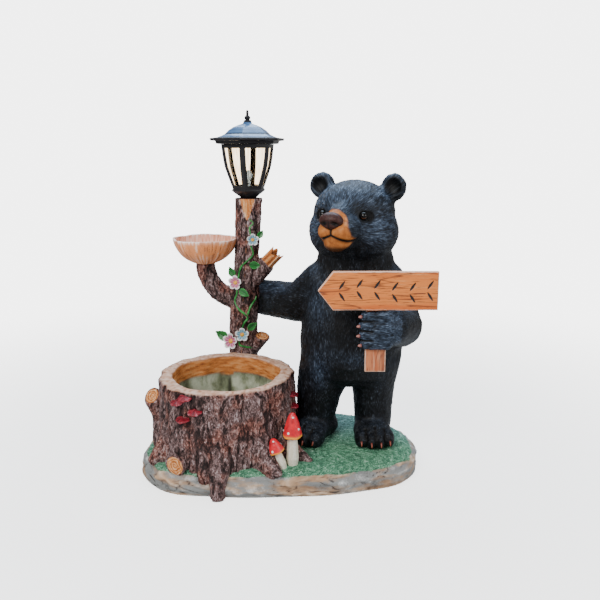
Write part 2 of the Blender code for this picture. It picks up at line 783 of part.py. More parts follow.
def board_outline(grow=0.0):
    """The board's outline on the XZ plane, counterclockwise seen from the back."""
    left, right = SIGN_X - grow, SIGN_X + SIGN_LENGTH + grow
    low, high = SIGN_BOTTOM - grow, SIGN_BOTTOM + SIGN_HEIGHT + grow
    shoulder = left + SIGN_TIP
    return [(left, (low + high) / 2), (shoulder, high), (right, high), (right, low), (shoulder, low)]


def flat_board(name, outline, front, back, material=None, parent=None):
    """A board between two upright planes from an XZ outline that runs clockwise seen from the front."""
    rings = [[Vector((x, y, z)) for x, z in outline] for y in (front, back)]
    return make_object(name, loft(rings), material, parent, flat=True)


def stake_outline(grow=0.0, top=None):
    left, right = STAKE_X - STAKE_WIDTH / 2 - grow, STAKE_X + STAKE_WIDTH / 2 + grow
    high = SIGN_BOTTOM + 0.8 * SIGN_HEIGHT if top is None else top
    return [(left, STAKE_BOTTOM - grow), (left, high), (right, high), (right, STAKE_BOTTOM - grow)]


def stroke_cutter():
    """A row of slanting leaf strokes in pairs along the board, no letters."""
    rings = []
    bm = bmesh.new()
    start = SIGN_X + SIGN_TIP + 0.154 * SIGN_HEIGHT
    pitch = (SIGN_LENGTH - SIGN_TIP - 0.436 * SIGN_HEIGHT) / (STROKE_PAIRS - 1)
    middle = SIGN_BOTTOM + SIGN_HEIGHT / 2
    for i in range(STROKE_PAIRS):
        for side in (-1, 1):
            foot = Vector((start + pitch * i, 0, middle + 0.045 * SIGN_HEIGHT * (math.sin(1.3 * i) + side)))
            lean = Vector((0.55, 0, 0.83 * side)).normalized()
            across = Vector((lean.z, 0, -lean.x))
            length, half_width = 0.26 * SIGN_HEIGHT, 0.0333 * SIGN_HEIGHT
            tip = foot + lean * length
            belly = foot + lean * length * 0.45
            outline = [foot, belly + across * half_width, tip, belly - across * half_width]
            face = SIGN_Y - SIGN_THICKNESS
            levels = (face - STROKE_DEPTH, face + STROKE_DEPTH)
            rings = [[point + Vector((0, y, 0)) for point in outline] for y in levels]
            stroke = [[bm.verts.new(point) for point in ring] for ring in rings]
            for k in range(4):
                bm.faces.new((stroke[0][k], stroke[0][(k + 1) % 4], stroke[1][(k + 1) % 4], stroke[1][k]))
            bm.faces.new(list(reversed(stroke[0])))
            bm.faces.new(stroke[1])
    bmesh.ops.recalc_face_normals(bm, faces=bm.faces)
    return hide_as_cutter(make_object("stroke_cutter", bm, flat=True))


def make_sign(parent):
    wood = finish("sign wood", (0.72, 0.32, 0.12), 0.55)
    sign = flat_board("arrow_sign", board_outline(), SIGN_Y - SIGN_THICKNESS, SIGN_Y, wood, parent)
    stake = flat_board("stake_form", stake_outline(), SIGN_Y - STAKE_OVERLAP, SIGN_Y + STAKE_THICKNESS)
    join(sign, stake)
    cut(sign, stroke_cutter())
    return sign


def stake_cutter():
    """The stake grown by the clearance, run on upward, which opens the bear's fist for it."""
    above = SIGN_BOTTOM + 1.2 * SIGN_HEIGHT
    outline = stake_outline(GAP, above)
    front = SIGN_Y - STAKE_OVERLAP - GAP
    return hide_as_cutter(flat_board("stake_cutter", outline, front, SIGN_Y + STAKE_THICKNESS + GAP))


def board_cutter():
    front, back = SIGN_Y - SIGN_THICKNESS - GAP, SIGN_Y + GAP
    return hide_as_cutter(flat_board("board_cutter", board_outline(GAP), front, back))


# Toadstools


def make_toadstool(name, height, cap_radius, place, lean, parent, blocks):
    red = finish(name + " paint", (0.75, 0.06, 0.05), 0.4)
    stem = cap_radius * 0.62
    profile = [(stem * 0.75, -TOADSTOOL_SINK), (stem, 0.14 * height), (stem * 0.72, 0.51 * height)]
    cap = [(0.93, 0.53), (1.0, 0.565), (0.81, 0.69), (0.58, 0.82), (0.39, 0.93), (0.16, 0.99)]
    profile += [(cap_radius * across, height * up) for across, up in cap]
    toadstool = make_object(name, turned(profile, 10), red, parent)
    toadstool.location = place
    toadstool.rotation_euler = (0, math.radians(lean), 0)
    cut(toadstool, *blocks)
    return toadstool


# Bracket fungi

# Direction round the stump in degrees and share of the rim's height
BRACKETS = [(242.5, 0.955), (234.5, 0.895), (251, 0.83), (240, 0.735), (351, 0.80), (353, 0.665)]


def make_bracket(number, degrees, share, parent, stump_block):
    red = finish(f"bracket fungus {number} paint", (0.45, 0.03, 0.05), 0.5)
    profile = [(0.55, -0.5), (1.0, -0.1), (0.9, 0.3), (0.45, 0.5)]
    rings = [
        round_ring(BRACKET_RADIUS * radius, BRACKET_THICKNESS * height, 9) for radius, height in profile
    ]
    bracket = make_object(f"bracket_fungus_{number}", loft(rings), red, parent)
    angle = math.radians(degrees)
    height = share * STUMP_RIM_HEIGHT
    reach = stump_radius(angle, height) + 0.1 * BRACKET_RADIUS
    bracket.location = (STUMP_X + reach * math.cos(angle), STUMP_Y + reach * math.sin(angle), height)
    bracket.rotation_euler = (0, math.radians(12), angle)
    cut(bracket, stump_block)
    return bracket


# Vine, leaves and flowers

# Height shares of the trunk's top and turns from the front, in degrees
VINE_ROUTE = [
    (0.919, 8), (0.905, 24), (0.888, 11), (0.870, 13), (0.838, 22), (0.809, 20), (0.780, 32),
    (0.758, 12), (0.733, -18), (0.707, -29), (0.650, -36), (0.615, -32), (0.585, -40),
    (0.556, -19), (0.520, 19), (0.491, 5), (0.440, -8), (0.404, -12),
]
SHOOT_ROUTE = [(0.592, 36), (0.577, 31), (0.563, 23), (0.545, 16)]


def vine_solid(route, grow=0.0):
    """A vine's tube laid on the bark and pressed half a radius into it."""
    top = TRUNK_TOP_HEIGHT
    path = [on_trunk(share * top, degrees, 0.5 * VINE_RADIUS)[0] for share, degrees in route]
    return loft(tube_rings(path, [VINE_RADIUS + grow] * len(path), 4))


def make_vine(name, route, parent, blocks):
    vine = make_object(name, vine_solid(route), finish(name + " paint", (0.05, 0.28, 0.08), 0.5), parent)
    cut(vine, *blocks)
    return vine


def vine_cutter(name, route):
    return hide_as_cutter(make_object(name, vine_solid(route, GAP)))


# Each leaf: height share, turn from the front, length, tip direction in degrees (0 right, 90 up), and
# lift off the bark
LEAVES = [
    (0.848, 60, 0.024, 65, 0.0022), (0.738, 14, 0.027, -10, 0.0010), (0.690, -66, 0.024, 105, 0.0022),
    (0.634, -22, 0.027, -25, 0.0010), (0.470, 24, 0.026, 15, 0.0010), (0.435, -66, 0.034, 140, 0.0030),
]


def make_leaf(number, share, degrees, length, tip_turn, lift, parent, blocks):
    green = finish(f"leaf {number} paint", (0.06, 0.30, 0.09), 0.5)
    half = [0.0, 0.30, 0.46, 0.40, 0.20]
    upper = [(k / 5 * length, 0.62 * h * length) for k, h in enumerate(half)] + [(length, 0.0)]
    outline = [*upper, *[(x, -y) for x, y in reversed(upper[1:-1])]]
    outline.reverse()
    back = [Vector((x, y, 0)) for x, y in outline]
    front = [Vector((x, y, 0.55 * LEAF_THICKNESS)) for x, y in outline]
    vein = [Vector((0.12 * length + 0.8 * x, 0.3 * y, LEAF_THICKNESS)) for x, y in outline]
    leaf = make_object(f"leaf_{number}", loft([back, front, vein]), green, parent)
    place, out = on_trunk(share * TRUNK_TOP_HEIGHT, degrees, lift - 0.5 * LEAF_THICKNESS)
    leaf.matrix_basis = facing(place, out, tip_turn)
    cut(leaf, *blocks)
    return leaf


def facing(place, out, turn_degrees=0.0):
    """Stands a flat piece with its back at place, its face along out, turned in its own plane."""
    up = Vector((0, 0, 1))
    across = up.cross(out).normalized()
    matrix = Matrix((across, out.cross(across), out)).transposed().to_4x4()
    return Matrix.Translation(place) @ matrix @ Matrix.Rotation(math.radians(turn_degrees), 4, "Z")


# Each flower: height share, turn from the front, radius, lift off the bark, and petal colour
PINK = (0.80, 0.42, 0.55)
BLUE = (0.50, 0.68, 0.72)
FLOWERS = [
    (0.838, 24, 0.0140, 0.0005, BLUE), (0.662, -42, 0.0160, 0.0008, PINK), (0.447, 2, 0.0165, 0.0008, BLUE),
    (0.414, -47, 0.0178, 0.0040, PINK),
]
PETAL_STEPS = 3


def flower_ring(radius, height, notch):
    """A ring whose radius dips between the petals."""
    steps = PETALS * PETAL_STEPS
    ring = []
    for i in range(steps):
        angle = math.tau * (i + 0.5) / steps
        dip = 1 - notch * (0.5 + 0.5 * math.cos(PETALS * angle + math.pi))
        ring.append(Vector((radius * dip * math.cos(angle), radius * dip * math.sin(angle), height)))
    return ring


def flower_object(name, share, degrees, radius, lift, colour, grow=0.0):
    """A five-petalled flower with a raised middle, standing on the bark and turned toward the front."""
    thick = PETAL_THICKNESS
    rings = [
        flower_ring(radius * 0.45 + grow, -0.4 * thick - grow, 0.0),
        flower_ring(1.08 * radius + grow, thick, 0.34),
        flower_ring(1.04 * radius + grow, 1.7 * thick + grow, 0.34),
        flower_ring(radius * 0.30 + grow, 1.9 * thick + grow, 0.0),
    ]
    flower = make_object(name, loft(rings))
    place, out = on_trunk(share * TRUNK_TOP_HEIGHT, degrees, VINE_RADIUS + lift)
    toward_front = (out * 0.75 + Vector((0, -0.6, 0.12))).normalized()
    flower.matrix_basis = facing(place, toward_front, 90)
    return flower


def make_flower(number, row, parent, blocks):
    flower = flower_object(f"flower_{number}", *row)
    flower.data.materials.append(finish(f"flower {number} paint", row[-1], 0.5))
    flower.parent = parent
    cut(flower, *blocks)
    return flower


def flower_cutters():
    cutters = [flower_object(f"flower_cutter_{k}", *row, grow=GAP) for k, row in enumerate(FLOWERS, 1)]
    return [hide_as_cutter(cutter) for cutter in cutters]


# Lantern

# Share of the lantern's height for the cage's parts and the roof's levels
CAGE_FLOOR = 0.110
SILL_TOP = 0.150
CAGE_MIDDLE = 0.365
HEADER_FOOT = 0.575
CAGE_TOP = 0.618
# The foot cup under the cage: radius as a share of the cage's foot, height share
CUP_PROFILE = [(0.475, 0.0), (0.70, 0.035), (0.87, 0.057), (1.07, 0.088), (1.06, 0.101), (1.0, CAGE_FLOOR)]
# The roof from its seat on the cage up to its crown: radius as a share of the eave's, height share
ROOF_PROFILE = [
    (0.760, 0.618), (0.840, 0.625), (0.860, 0.655), (0.985, 0.660), (1.0, 0.685),
    (0.800, 0.696), (0.700, 0.711), (0.605, 0.731), (0.580, 0.743), (0.500, 0.776),
    (0.385, 0.808), (0.250, 0.833), (0.125, 0.850), (0.115, 0.866),
]
# The first rings are the solid eave, and the roof is hollow above them
EAVE_RINGS = 5
ROOF_SEAT = 0.62
CROWN = 0.866


def hex_ring(radius, height, extra_points=()):
    """A six-sided ring; each side may carry points at these distances from its corners."""
    ring = []
    for side in range(6):
        here = Vector((math.cos(math.tau * side / 6), math.sin(math.tau * side / 6), 0)) * radius
        there = Vector((math.cos(math.tau * (side + 1) / 6), math.sin(math.tau * (side + 1) / 6), 0)) * radius
        along = (there - here).normalized()
        points = [here]
        for distance in extra_points:
            points.append(here + along * distance if distance > 0 else there + along * distance)
        ring += [Vector((p.x, p.y, height)) for p in points]
    return ring


def cage_radius(share):
    """The cage's corner radius at a share of the lantern's height."""
    t = (share - CAGE_FLOOR) / (CAGE_TOP - CAGE_FLOOR)
    return CAGE_FOOT_RADIUS + (CAGE_TOP_RADIUS - CAGE_FOOT_RADIUS) * t + CAGE_BELLY * math.sin(math.pi * t)


def lantern_level(share):
    return share * LANTERN_HEIGHT


def cage_ring(share, inset):
    """Corner, window's left edge and window's right edge on each side."""
    radius = cage_radius(share) - inset / math.cos(math.pi / 6)
    rib = RIB_WIDTH / 2 - inset * math.tan(math.pi / 6)
    return hex_ring(radius, lantern_level(share), (rib, -rib))


def make_cage(parent):
    """Six ribs between a sill and a header, with a closed cup below."""
    levels = [CAGE_FLOOR, SILL_TOP, CAGE_MIDDLE, HEADER_FOOT, CAGE_TOP]
    window_rows = (1, 2)
    bm = bmesh.new()
    outer = [[bm.verts.new(p) for p in cage_ring(share, 0.0)] for share in levels]
    inner = [[bm.verts.new(p) for p in cage_ring(share, LANTERN_WALL)] for share in levels]
    count = len(outer[0])
    for k in range(len(levels) - 1):
        for i in range(count):
            after = (i + 1) % count
            if i % 3 == 1 and k in window_rows:
                continue
            bm.faces.new((outer[k][i], outer[k][after], outer[k + 1][after], outer[k + 1][i]))
            bm.faces.new((inner[k][after], inner[k][i], inner[k + 1][i], inner[k + 1][after]))
    for i in range(1, count, 3):
        after = i + 1
        bm.faces.new((outer[1][i], outer[1][after], inner[1][after], inner[1][i]))
        bm.faces.new((outer[3][after], outer[3][i], inner[3][i], inner[3][after]))
        for k in window_rows:
            bm.faces.new((outer[k][i], inner[k][i], inner[k + 1][i], outer[k + 1][i]))
            bm.faces.new((inner[k][after], outer[k][after], outer[k + 1][after], inner[k + 1][after]))
    for i in range(count):
        after = (i + 1) % count
        bm.faces.new((outer[-1][i], outer[-1][after], inner[-1][after], inner[-1][i]))
    rib = RIB_WIDTH / 2
    cup = []
    for radius_share, share in CUP_PROFILE[:-1]:
        radius = CAGE_FOOT_RADIUS * radius_share
        ring = hex_ring(radius, lantern_level(share), (rib * radius_share, -rib * radius_share))
        cup.append([bm.verts.new(p) for p in ring])
    cup.append(outer[0])
    for low, high in zip(cup, cup[1:]):
        for i in range(count):
            after = (i + 1) % count
            bm.faces.new((low[i], low[after], high[after], high[i]))
    fan(bm, list(reversed(cup[0])))
    fan(bm, inner[0])
    return make_object("lantern_cage", bm, finish("lantern plastic", (0.012, 0.012, 0.014), 0.3), parent)


def make_glazing(parent):
    """A clear six-sided sleeve just inside the ribs, open at both ends."""
    clear = finish("clear plastic", (0.85, 0.85, 0.80), 0.1)
    low, high = CAGE_FLOOR + 0.004, CAGE_TOP - 0.004
    outside = LANTERN_WALL + GLAZING_CLEARANCE
    inside = outside + GLAZING_WALL
    shares = (low, CAGE_MIDDLE, high)
    corner = 1 / math.cos(math.pi / 6)
    rings = [hex_ring(cage_radius(s) - outside * corner, lantern_level(s)) for s in shares]
    rings += [hex_ring(cage_radius(s) - inside * corner, lantern_level(s)) for s in reversed(shares)]
    return make_object("lantern_glazing", loft(rings, loop=True), clear, parent)


def make_roof(parent):
    """A hollow six-sided roof that sits on the cage's header."""
    gloss = finish("lantern roof plastic", (0.014, 0.015, 0.018), 0.25)
    rings = [
        hex_ring(EAVE_RADIUS * radius, lantern_level(share) + (GAP if share == CAGE_TOP else 0.0))
        for radius, share in ROOF_PROFILE
    ]
    for radius, share in reversed(ROOF_PROFILE[EAVE_RINGS:-2]):
        inner = max(EAVE_RADIUS * radius - LANTERN_WALL, 0.3 * EAVE_RADIUS * radius)
        rings.append(hex_ring(inner, lantern_level(share) - LANTERN_WALL))
    rings.append(hex_ring(EAVE_RADIUS * ROOF_SEAT, lantern_level(CAGE_TOP) + GAP))
    top = rings.index(rings[len(ROOF_PROFILE) - 1])
    bm = bmesh.new()
    loops = [[bm.verts.new(p) for p in ring] for ring in rings]
    for k, (low, high) in enumerate(zip(loops, loops[1:])):
        if k == top:
            fan(bm, low)
            fan(bm, list(reversed(high)))
            continue
        for i in range(6):
            after = (i + 1) % 6
            bm.faces.new((low[i], low[after], high[after], high[i]))
    for i in range(6):
        after = (i + 1) % 6
        bm.faces.new((loops[-1][i], loops[-1][after], loops[0][after], loops[0][i]))
    return make_object("lantern_roof", bm, gloss, parent)


def make_finial(parent):
    plastic = finish("finial plastic", (0.012, 0.012, 0.014), 0.3)
    foot = lantern_level(CROWN) + GAP
    tip = LANTERN_HEIGHT
    ball = foot + 0.36 * (tip - foot)
    r = FINIAL_RADIUS
    profile = [(1.25 * r, foot), (1.15 * r, foot + 0.6 * r), (0.5 * r, foot + 1.1 * r)]
    profile += [(0.45 * r, ball - 0.95 * r)]
    profile += [(r * math.cos(math.radians(a)), ball + r * math.sin(math.radians(a))) for a in (-45, 0, 45)]
    profile += [(0.42 * r, ball + 1.0 * r), (0.42 * r, ball + 0.85 * (tip - ball)), (0.25 * r, tip)]
    return make_object("lantern_finial", turned(profile, 8), plastic, parent)


def make_lamp(parent):
    """The small clear-domed lamp on the cage's floor."""
    plastic = finish("lamp plastic", (0.75, 0.78, 0.80), 0.3)
    foot = lantern_level(CAGE_FLOOR) + GAP
    r = LAMP_RADIUS
    profile = [(2.0 * r, foot), (2.0 * r, foot + 0.4 * r), (r, foot + 0.7 * r), (r, foot + 3.6 * r)]
    profile += [(1.6 * r, foot + 4.4 * r), (1.8 * r, foot + 5.6 * r), (1.2 * r, foot + 6.6 * r)]
    profile += [(0.4 * r, foot + 7.1 * r)]
    return make_object("lantern_lamp", turned(profile, 8), plastic, parent)


def make_lantern(parent):
    stand = bpy.data.objects.new("lantern_stand", None)
    bpy.context.scene.collection.objects.link(stand)
    stand.parent = parent
    stand.location = trunk_middle(TRUNK_TOP_HEIGHT) + Vector((0, 0, GAP))
    facing_rib = -90
    stand.rotation_euler = (0, 0, math.radians(facing_rib + LANTERN_TURN))
    for make in (make_cage, make_glazing, make_roof, make_finial, make_lamp):
        make(stand)


def build_statue():
    clear_objects()
    statue = bpy.data.objects.new("statue", None)
    bpy.context.scene.collection.objects.link(statue)
    ground = ground_cutter()
    stump_block = stump_cutter()
    tree_blocks = tree_cutters()
    trunk_block = tree_blocks[0]
    bowl_block = bowl_cutter()
    stake_block = stake_cutter()

    make_base(statue)
    make_stump(statue, ground)
    make_trunk(statue, ground, stump_block, bowl_block)
    make_bowl(statue, trunk_block)
    make_sign(statue)
    bear = make_bear(statue, ground, [stump_block, *tree_blocks], stake_block)
    cut(bear, board_cutter())
    level = TURF_HEIGHT - 0.2 * TOADSTOOL_SINK
    for name, height, cap, x, y, lean in (
        ("toadstool_tall", TALL_TOADSTOOL, CAP_RADIUS_TALL, TALL_TOADSTOOL_X, TALL_TOADSTOOL_Y, 0),
        ("toadstool_short", SHORT_TOADSTOOL, CAP_RADIUS_SHORT, SHORT_TOADSTOOL_X, SHORT_TOADSTOOL_Y, -18),
    ):
        make_toadstool(name, height, cap, (x, y, level), lean, statue, [ground, stump_block])
    for number, (degrees, share) in enumerate(BRACKETS, 1):
        make_bracket(number, degrees, share, statue, stump_block)
    vine_block = vine_cutter("vine_cutter", VINE_ROUTE)
    shoot_block = vine_cutter("shoot_cutter", SHOOT_ROUTE)
    wood = [*tree_blocks, stump_block, bowl_block]
    make_vine("vine", VINE_ROUTE, statue, wood)
    make_vine("vine_shoot", SHOOT_ROUTE, statue, [*wood, vine_block])
    under_flowers = [*wood, vine_block, shoot_block]
    for number, row in enumerate(FLOWERS, 1):
        make_flower(number, row, statue, under_flowers)
    under_leaves = [*under_flowers, *flower_cutters()]
    for number, leaf in enumerate(LEAVES, 1):
        make_leaf(number, *leaf, statue, under_leaves)
    make_lantern(statue)


build_statue()
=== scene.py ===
"""A painted garden statue: a black bear with an arrow board beside a hollow tree stump, which is the planter.

A trunk behind the stump carries a carved bowl and a lantern. Metres, +Z up, the front faces -Y.
"""

import math

import bpy
import numpy as np
from mathutils import Euler, Matrix, Vector


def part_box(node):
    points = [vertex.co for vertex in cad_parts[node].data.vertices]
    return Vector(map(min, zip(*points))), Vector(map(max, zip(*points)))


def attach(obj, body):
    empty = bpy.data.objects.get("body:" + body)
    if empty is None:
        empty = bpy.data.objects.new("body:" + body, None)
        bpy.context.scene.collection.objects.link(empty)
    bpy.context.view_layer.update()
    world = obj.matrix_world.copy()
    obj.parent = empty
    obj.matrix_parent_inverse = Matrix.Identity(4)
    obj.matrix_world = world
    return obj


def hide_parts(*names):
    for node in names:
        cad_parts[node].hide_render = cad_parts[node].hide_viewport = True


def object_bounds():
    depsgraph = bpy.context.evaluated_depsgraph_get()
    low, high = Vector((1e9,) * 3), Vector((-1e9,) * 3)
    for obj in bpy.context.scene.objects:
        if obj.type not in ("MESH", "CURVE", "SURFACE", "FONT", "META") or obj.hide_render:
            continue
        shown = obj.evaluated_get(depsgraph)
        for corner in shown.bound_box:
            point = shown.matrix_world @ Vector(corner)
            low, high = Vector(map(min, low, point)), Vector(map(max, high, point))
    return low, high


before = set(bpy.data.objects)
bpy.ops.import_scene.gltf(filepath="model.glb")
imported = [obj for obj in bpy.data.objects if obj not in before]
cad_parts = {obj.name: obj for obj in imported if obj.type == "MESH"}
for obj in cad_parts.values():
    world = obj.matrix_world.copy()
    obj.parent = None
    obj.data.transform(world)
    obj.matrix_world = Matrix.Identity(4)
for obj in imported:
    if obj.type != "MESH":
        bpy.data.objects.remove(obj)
solid_low, solid_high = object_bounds()

# Rock slab with turf
# The slab is one casting: a broken rock edge painted grey with tan patches, and a top of short crumbly turf
# that creeps over the rock's rim. Everything else stands on it.

SLAB_LENGTH = 0.634
SLAB_DEPTH = 0.416
TURF_HEIGHT = 0.052
ROCK_HEIGHT = 0.043
ROCK_LEDGE = 0.003
SLAB_TOP_FROM = 0.50
SLAB_OUTLINE = np.array([
    (-0.498, -0.145), (-0.452, -0.33), (-0.360, -0.446), (-0.20, -0.487), (-0.04, -0.482), (0.12, -0.470),
    (0.27, -0.436), (0.395, -0.365), (0.475, -0.24), (0.498, -0.07), (0.472, 0.115), (0.395, 0.27),
    (0.25, 0.385), (0.08, 0.475), (-0.09, 0.515), (-0.25, 0.495), (-0.385, 0.38), (-0.475, 0.12),
]) * (SLAB_LENGTH, SLAB_DEPTH)
SLAB_PROFILE = np.array([
    (0.0, 0.10, 0.0), (0.03, 0.010, 0.0), (0.06, 0.0055, 0.001), (0.14, 0.0, 0.012), (0.24, 0.0015, 0.028),
    (0.30, 0.0075, 0.040), (0.335, 0.0150, ROCK_HEIGHT), (0.37, 0.0182, 0.0450), (0.40, 0.024, 0.0475),
    (SLAB_TOP_FROM, 0.045, TURF_HEIGHT), (1.0, 0.045, TURF_HEIGHT),
])


def uneven(points, size, seed=0):
    """Smooth unevenness from -1 to 1 in space, with lumps of this size."""
    scaled = points / size + seed * 17.31
    corner = np.floor(scaled).astype(np.int64)
    part = scaled - corner
    part = part * part * (3 - 2 * part)
    total = np.zeros(len(points))
    for step in range(8):
        move = (step & 1, step >> 1 & 1, step >> 2)
        mixed = sum((corner[:, k] + move[k]) * prime
                    for k, prime in enumerate((374761393, 668265263, 1274126177)))
        mixed = (mixed + seed * 362437) & 0xFFFFFFFF
        mixed = ((mixed ^ (mixed >> 13)) * 1103515245) & 0xFFFFFFFF
        mixed ^= mixed >> 16
        weight = np.prod([part[:, k] if move[k] else 1 - part[:, k] for k in range(3)], axis=0)
        total += weight * ((mixed & 0xFFFF) / 32767.5 - 1)
    return total


def shaken(points, size, *seeds):
    """Unevenness along x, y and z, one seed an axis; an axis without a seed stays still."""
    moves = np.zeros((len(points), 3))
    for axis, seed in enumerate(seeds):
        moves[:, axis] = uneven(points, size, seed)
    return moves


def share_of(low, high, value):
    """A straight rise from 0 at low to 1 at high."""
    return np.clip((value - low) / (high - low), 0, 1)


def between(low, high, value):
    """An eased rise from 0 at low to 1 at high."""
    share = share_of(low, high, value)
    return share * share * (3 - 2 * share)


def hump(value, width):
    """A bell that is 1 where the value is 0."""
    return np.exp(-((value / width) ** 2))


def linear(table, column, at):
    return np.interp(at, table[:, 0], table[:, column])


def store(piece, name, values):
    """Keeps one number for each vertex, for the paint to read."""
    data = piece.data.attributes.new(name, "FLOAT", "POINT")
    data.data.foreach_set("value", np.asarray(values, dtype=np.float32))


def rows_of(items, key):
    """A vector for each vertex or face."""
    flat = np.empty(len(items) * 3)
    items.foreach_get(key, flat)
    return flat.reshape(-1, 3)


def places_of(piece):
    return rows_of(piece.data.vertices, "co")


def put_places(piece, places):
    piece.data.vertices.foreach_set("co", places.ravel())
    piece.data.update()


def new_piece(name, primitive, **settings):
    bpy.ops.object.select_all(action="DESELECT")
    primitive(**settings)
    piece = bpy.context.object
    piece.name = name
    piece.data.name = name
    return piece


def open_mesh():
    """Edit mode with all of the active piece selected."""
    bpy.ops.object.mode_set(mode="EDIT")
    bpy.ops.mesh.select_all(action="SELECT")


def close_mesh():
    bpy.ops.object.mode_set(mode="OBJECT")


def wrapped(name, around, rows, shape):
    """A closed skin: a grid bent by shape(turn, rise), which gives places and a dict of numbers to keep."""
    piece = new_piece(name, bpy.ops.mesh.primitive_grid_add,
                      x_subdivisions=around, y_subdivisions=rows, size=1)
    grid = places_of(piece) + 0.5
    places, kept = shape(grid[:, 0], grid[:, 1])
    put_places(piece, places)
    for key, values in kept.items():
        store(piece, key, values)
    open_mesh()
    bpy.ops.mesh.remove_doubles(threshold=0.00002)
    bpy.ops.mesh.normals_make_consistent(inside=False)
    close_mesh()
    bpy.ops.object.shade_smooth()
    return piece


class Nodes:
    """Shader nodes on one tree."""

    def __init__(self, tree):
        self.tree = tree

    def feed(self, socket, value):
        """Links a socket or sets it."""
        if isinstance(value, bpy.types.NodeSocket):
            self.tree.links.new(value, socket)
        else:
            socket.default_value = (*value, 1) if socket.type == "RGBA" else value

    def put(self, kind, links=None, **settings):
        """One node with its settings, and its inputs set or linked."""
        made = self.tree.nodes.new(kind)
        for name, value in settings.items():
            setattr(made, name, value)
        for name, value in (links or {}).items():
            self.feed(made.inputs[name], value)
        return made

    def maths(self, operation, *values):
        return self.put("ShaderNodeMath", dict(enumerate(values)), operation=operation).outputs[0]


class Paint(Nodes):
    """A paint that reads the object's own coordinates and the numbers kept on its vertices."""

    def __init__(self, name):
        self.material = bpy.data.materials.new(name)
        self.material.use_nodes = True
        super().__init__(self.material.node_tree)
        self.shader = self.tree.nodes["Principled BSDF"]
        self.place = self.put("ShaderNodeTexCoord").outputs["Object"]

    def noise(self, size, detail=3.0, stretch=(1, 1, 1), place=None):
        """Noise from 0 to 1 with blotches of this size, stretched along the axes."""
        read_at = self.put("ShaderNodeMapping", {"Vector": place or self.place, "Scale": stretch}).outputs[0]
        settings = {"Vector": read_at, "Scale": 1 / size, "Detail": detail, "Roughness": 0.55}
        return self.put("ShaderNodeTexNoise", settings).outputs["Fac"]

    def kept(self, name, output="Fac"):
        return self.put("ShaderNodeAttribute", attribute_name=name).outputs[output]

    def bands(self, value, *stops):
        """A colour ramp of (place, colour) stops; one number stands for a grey."""
        ramp = self.put("ShaderNodeValToRGB", {"Fac": value})
        marks = ramp.color_ramp.elements
        while len(marks) < len(stops):
            marks.new(0.5)
        for mark, (position, colour) in zip(marks, stops):
            mark.position = position
            mark.color = (*colour, 1) if isinstance(colour, tuple) else (colour, colour, colour, 1)
        return ramp.outputs["Color"]

    def blotched(self, size, detail, *stops):
        return self.bands(self.noise(size, detail), *stops)

    def over(self, under, top, mask):
        """One colour laid over another where mask is 1."""
        return self.put("ShaderNodeMix", {0: mask, 6: under, 7: top}, data_type="RGBA").outputs[2]

    def stirred(self, number, noise, weight):
        """A number with noise added to it."""
        return self.maths("MULTIPLY_ADD", self.maths("SUBTRACT", noise, 0.5), weight, number)

    def brushed(self, hollow, ground, raised, grit):
        """Casting paint: dark left in the hollows and a pale brush dragged over the high points."""
        speckle = self.noise(grit, 2.0)
        height = self.stirred(self.kept("relief"), speckle, 0.55)
        return self.bands(height, (0.12, hollow), (0.42, ground), (0.60, ground), (0.92, raised)), speckle

    def shade(self, **values):
        """Sets or links the shader's inputs, with _ for a space."""
        for name, value in values.items():
            self.feed(self.shader.inputs[name.replace("_", " ")], value)

    def coat(self, colour, height, depth, rough, by, specular=0.5):
        """Colour, a bump from a height, and roughness between two values."""
        bump = self.put("ShaderNodeBump", {"Height": height, "Distance": depth, "Strength": 0.7})
        spread = self.put("ShaderNodeMapRange", {"Value": by, "To Min": rough[0], "To Max": rough[1]})
        self.shade(Base_Color=colour, Normal=bump.outputs[0], Roughness=spread.outputs[0])
        self.shade(Specular_IOR_Level=specular)


def finish_piece(piece, paint, record_slot, *nodes):
    """Paints a piece, which rides on the statue and stands for these nodes."""
    piece.data.materials.clear()
    piece.data.materials.append(paint.material)
    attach(piece, "root")
    if nodes:
        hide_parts(*nodes)


def spline(a, b, c, d, t):
    """The place at t between b and c on a smooth curve through four points, and its direction."""
    bend = 2 * a - 5 * b + 4 * c - d
    twist = 3 * b - a - 3 * c + d
    return (2 * b + (c - a) * t + bend * t**2 + twist * t**3) / 2, (c - a) + 2 * bend * t + 3 * twist * t**2


def slab_edge(turn):
    """The slab's outline and its outward direction."""
    count = len(SLAB_OUTLINE)
    place = (turn % 1.0) * count
    index = np.floor(place).astype(int) % count
    around = [SLAB_OUTLINE[(index + k) % count] for k in (-1, 0, 1, 2)]
    point, along = spline(*around, (place - np.floor(place))[:, None])
    out = np.stack([along[:, 1], -along[:, 0]], 1)
    return point, out / np.linalg.norm(out, axis=1)[:, None]


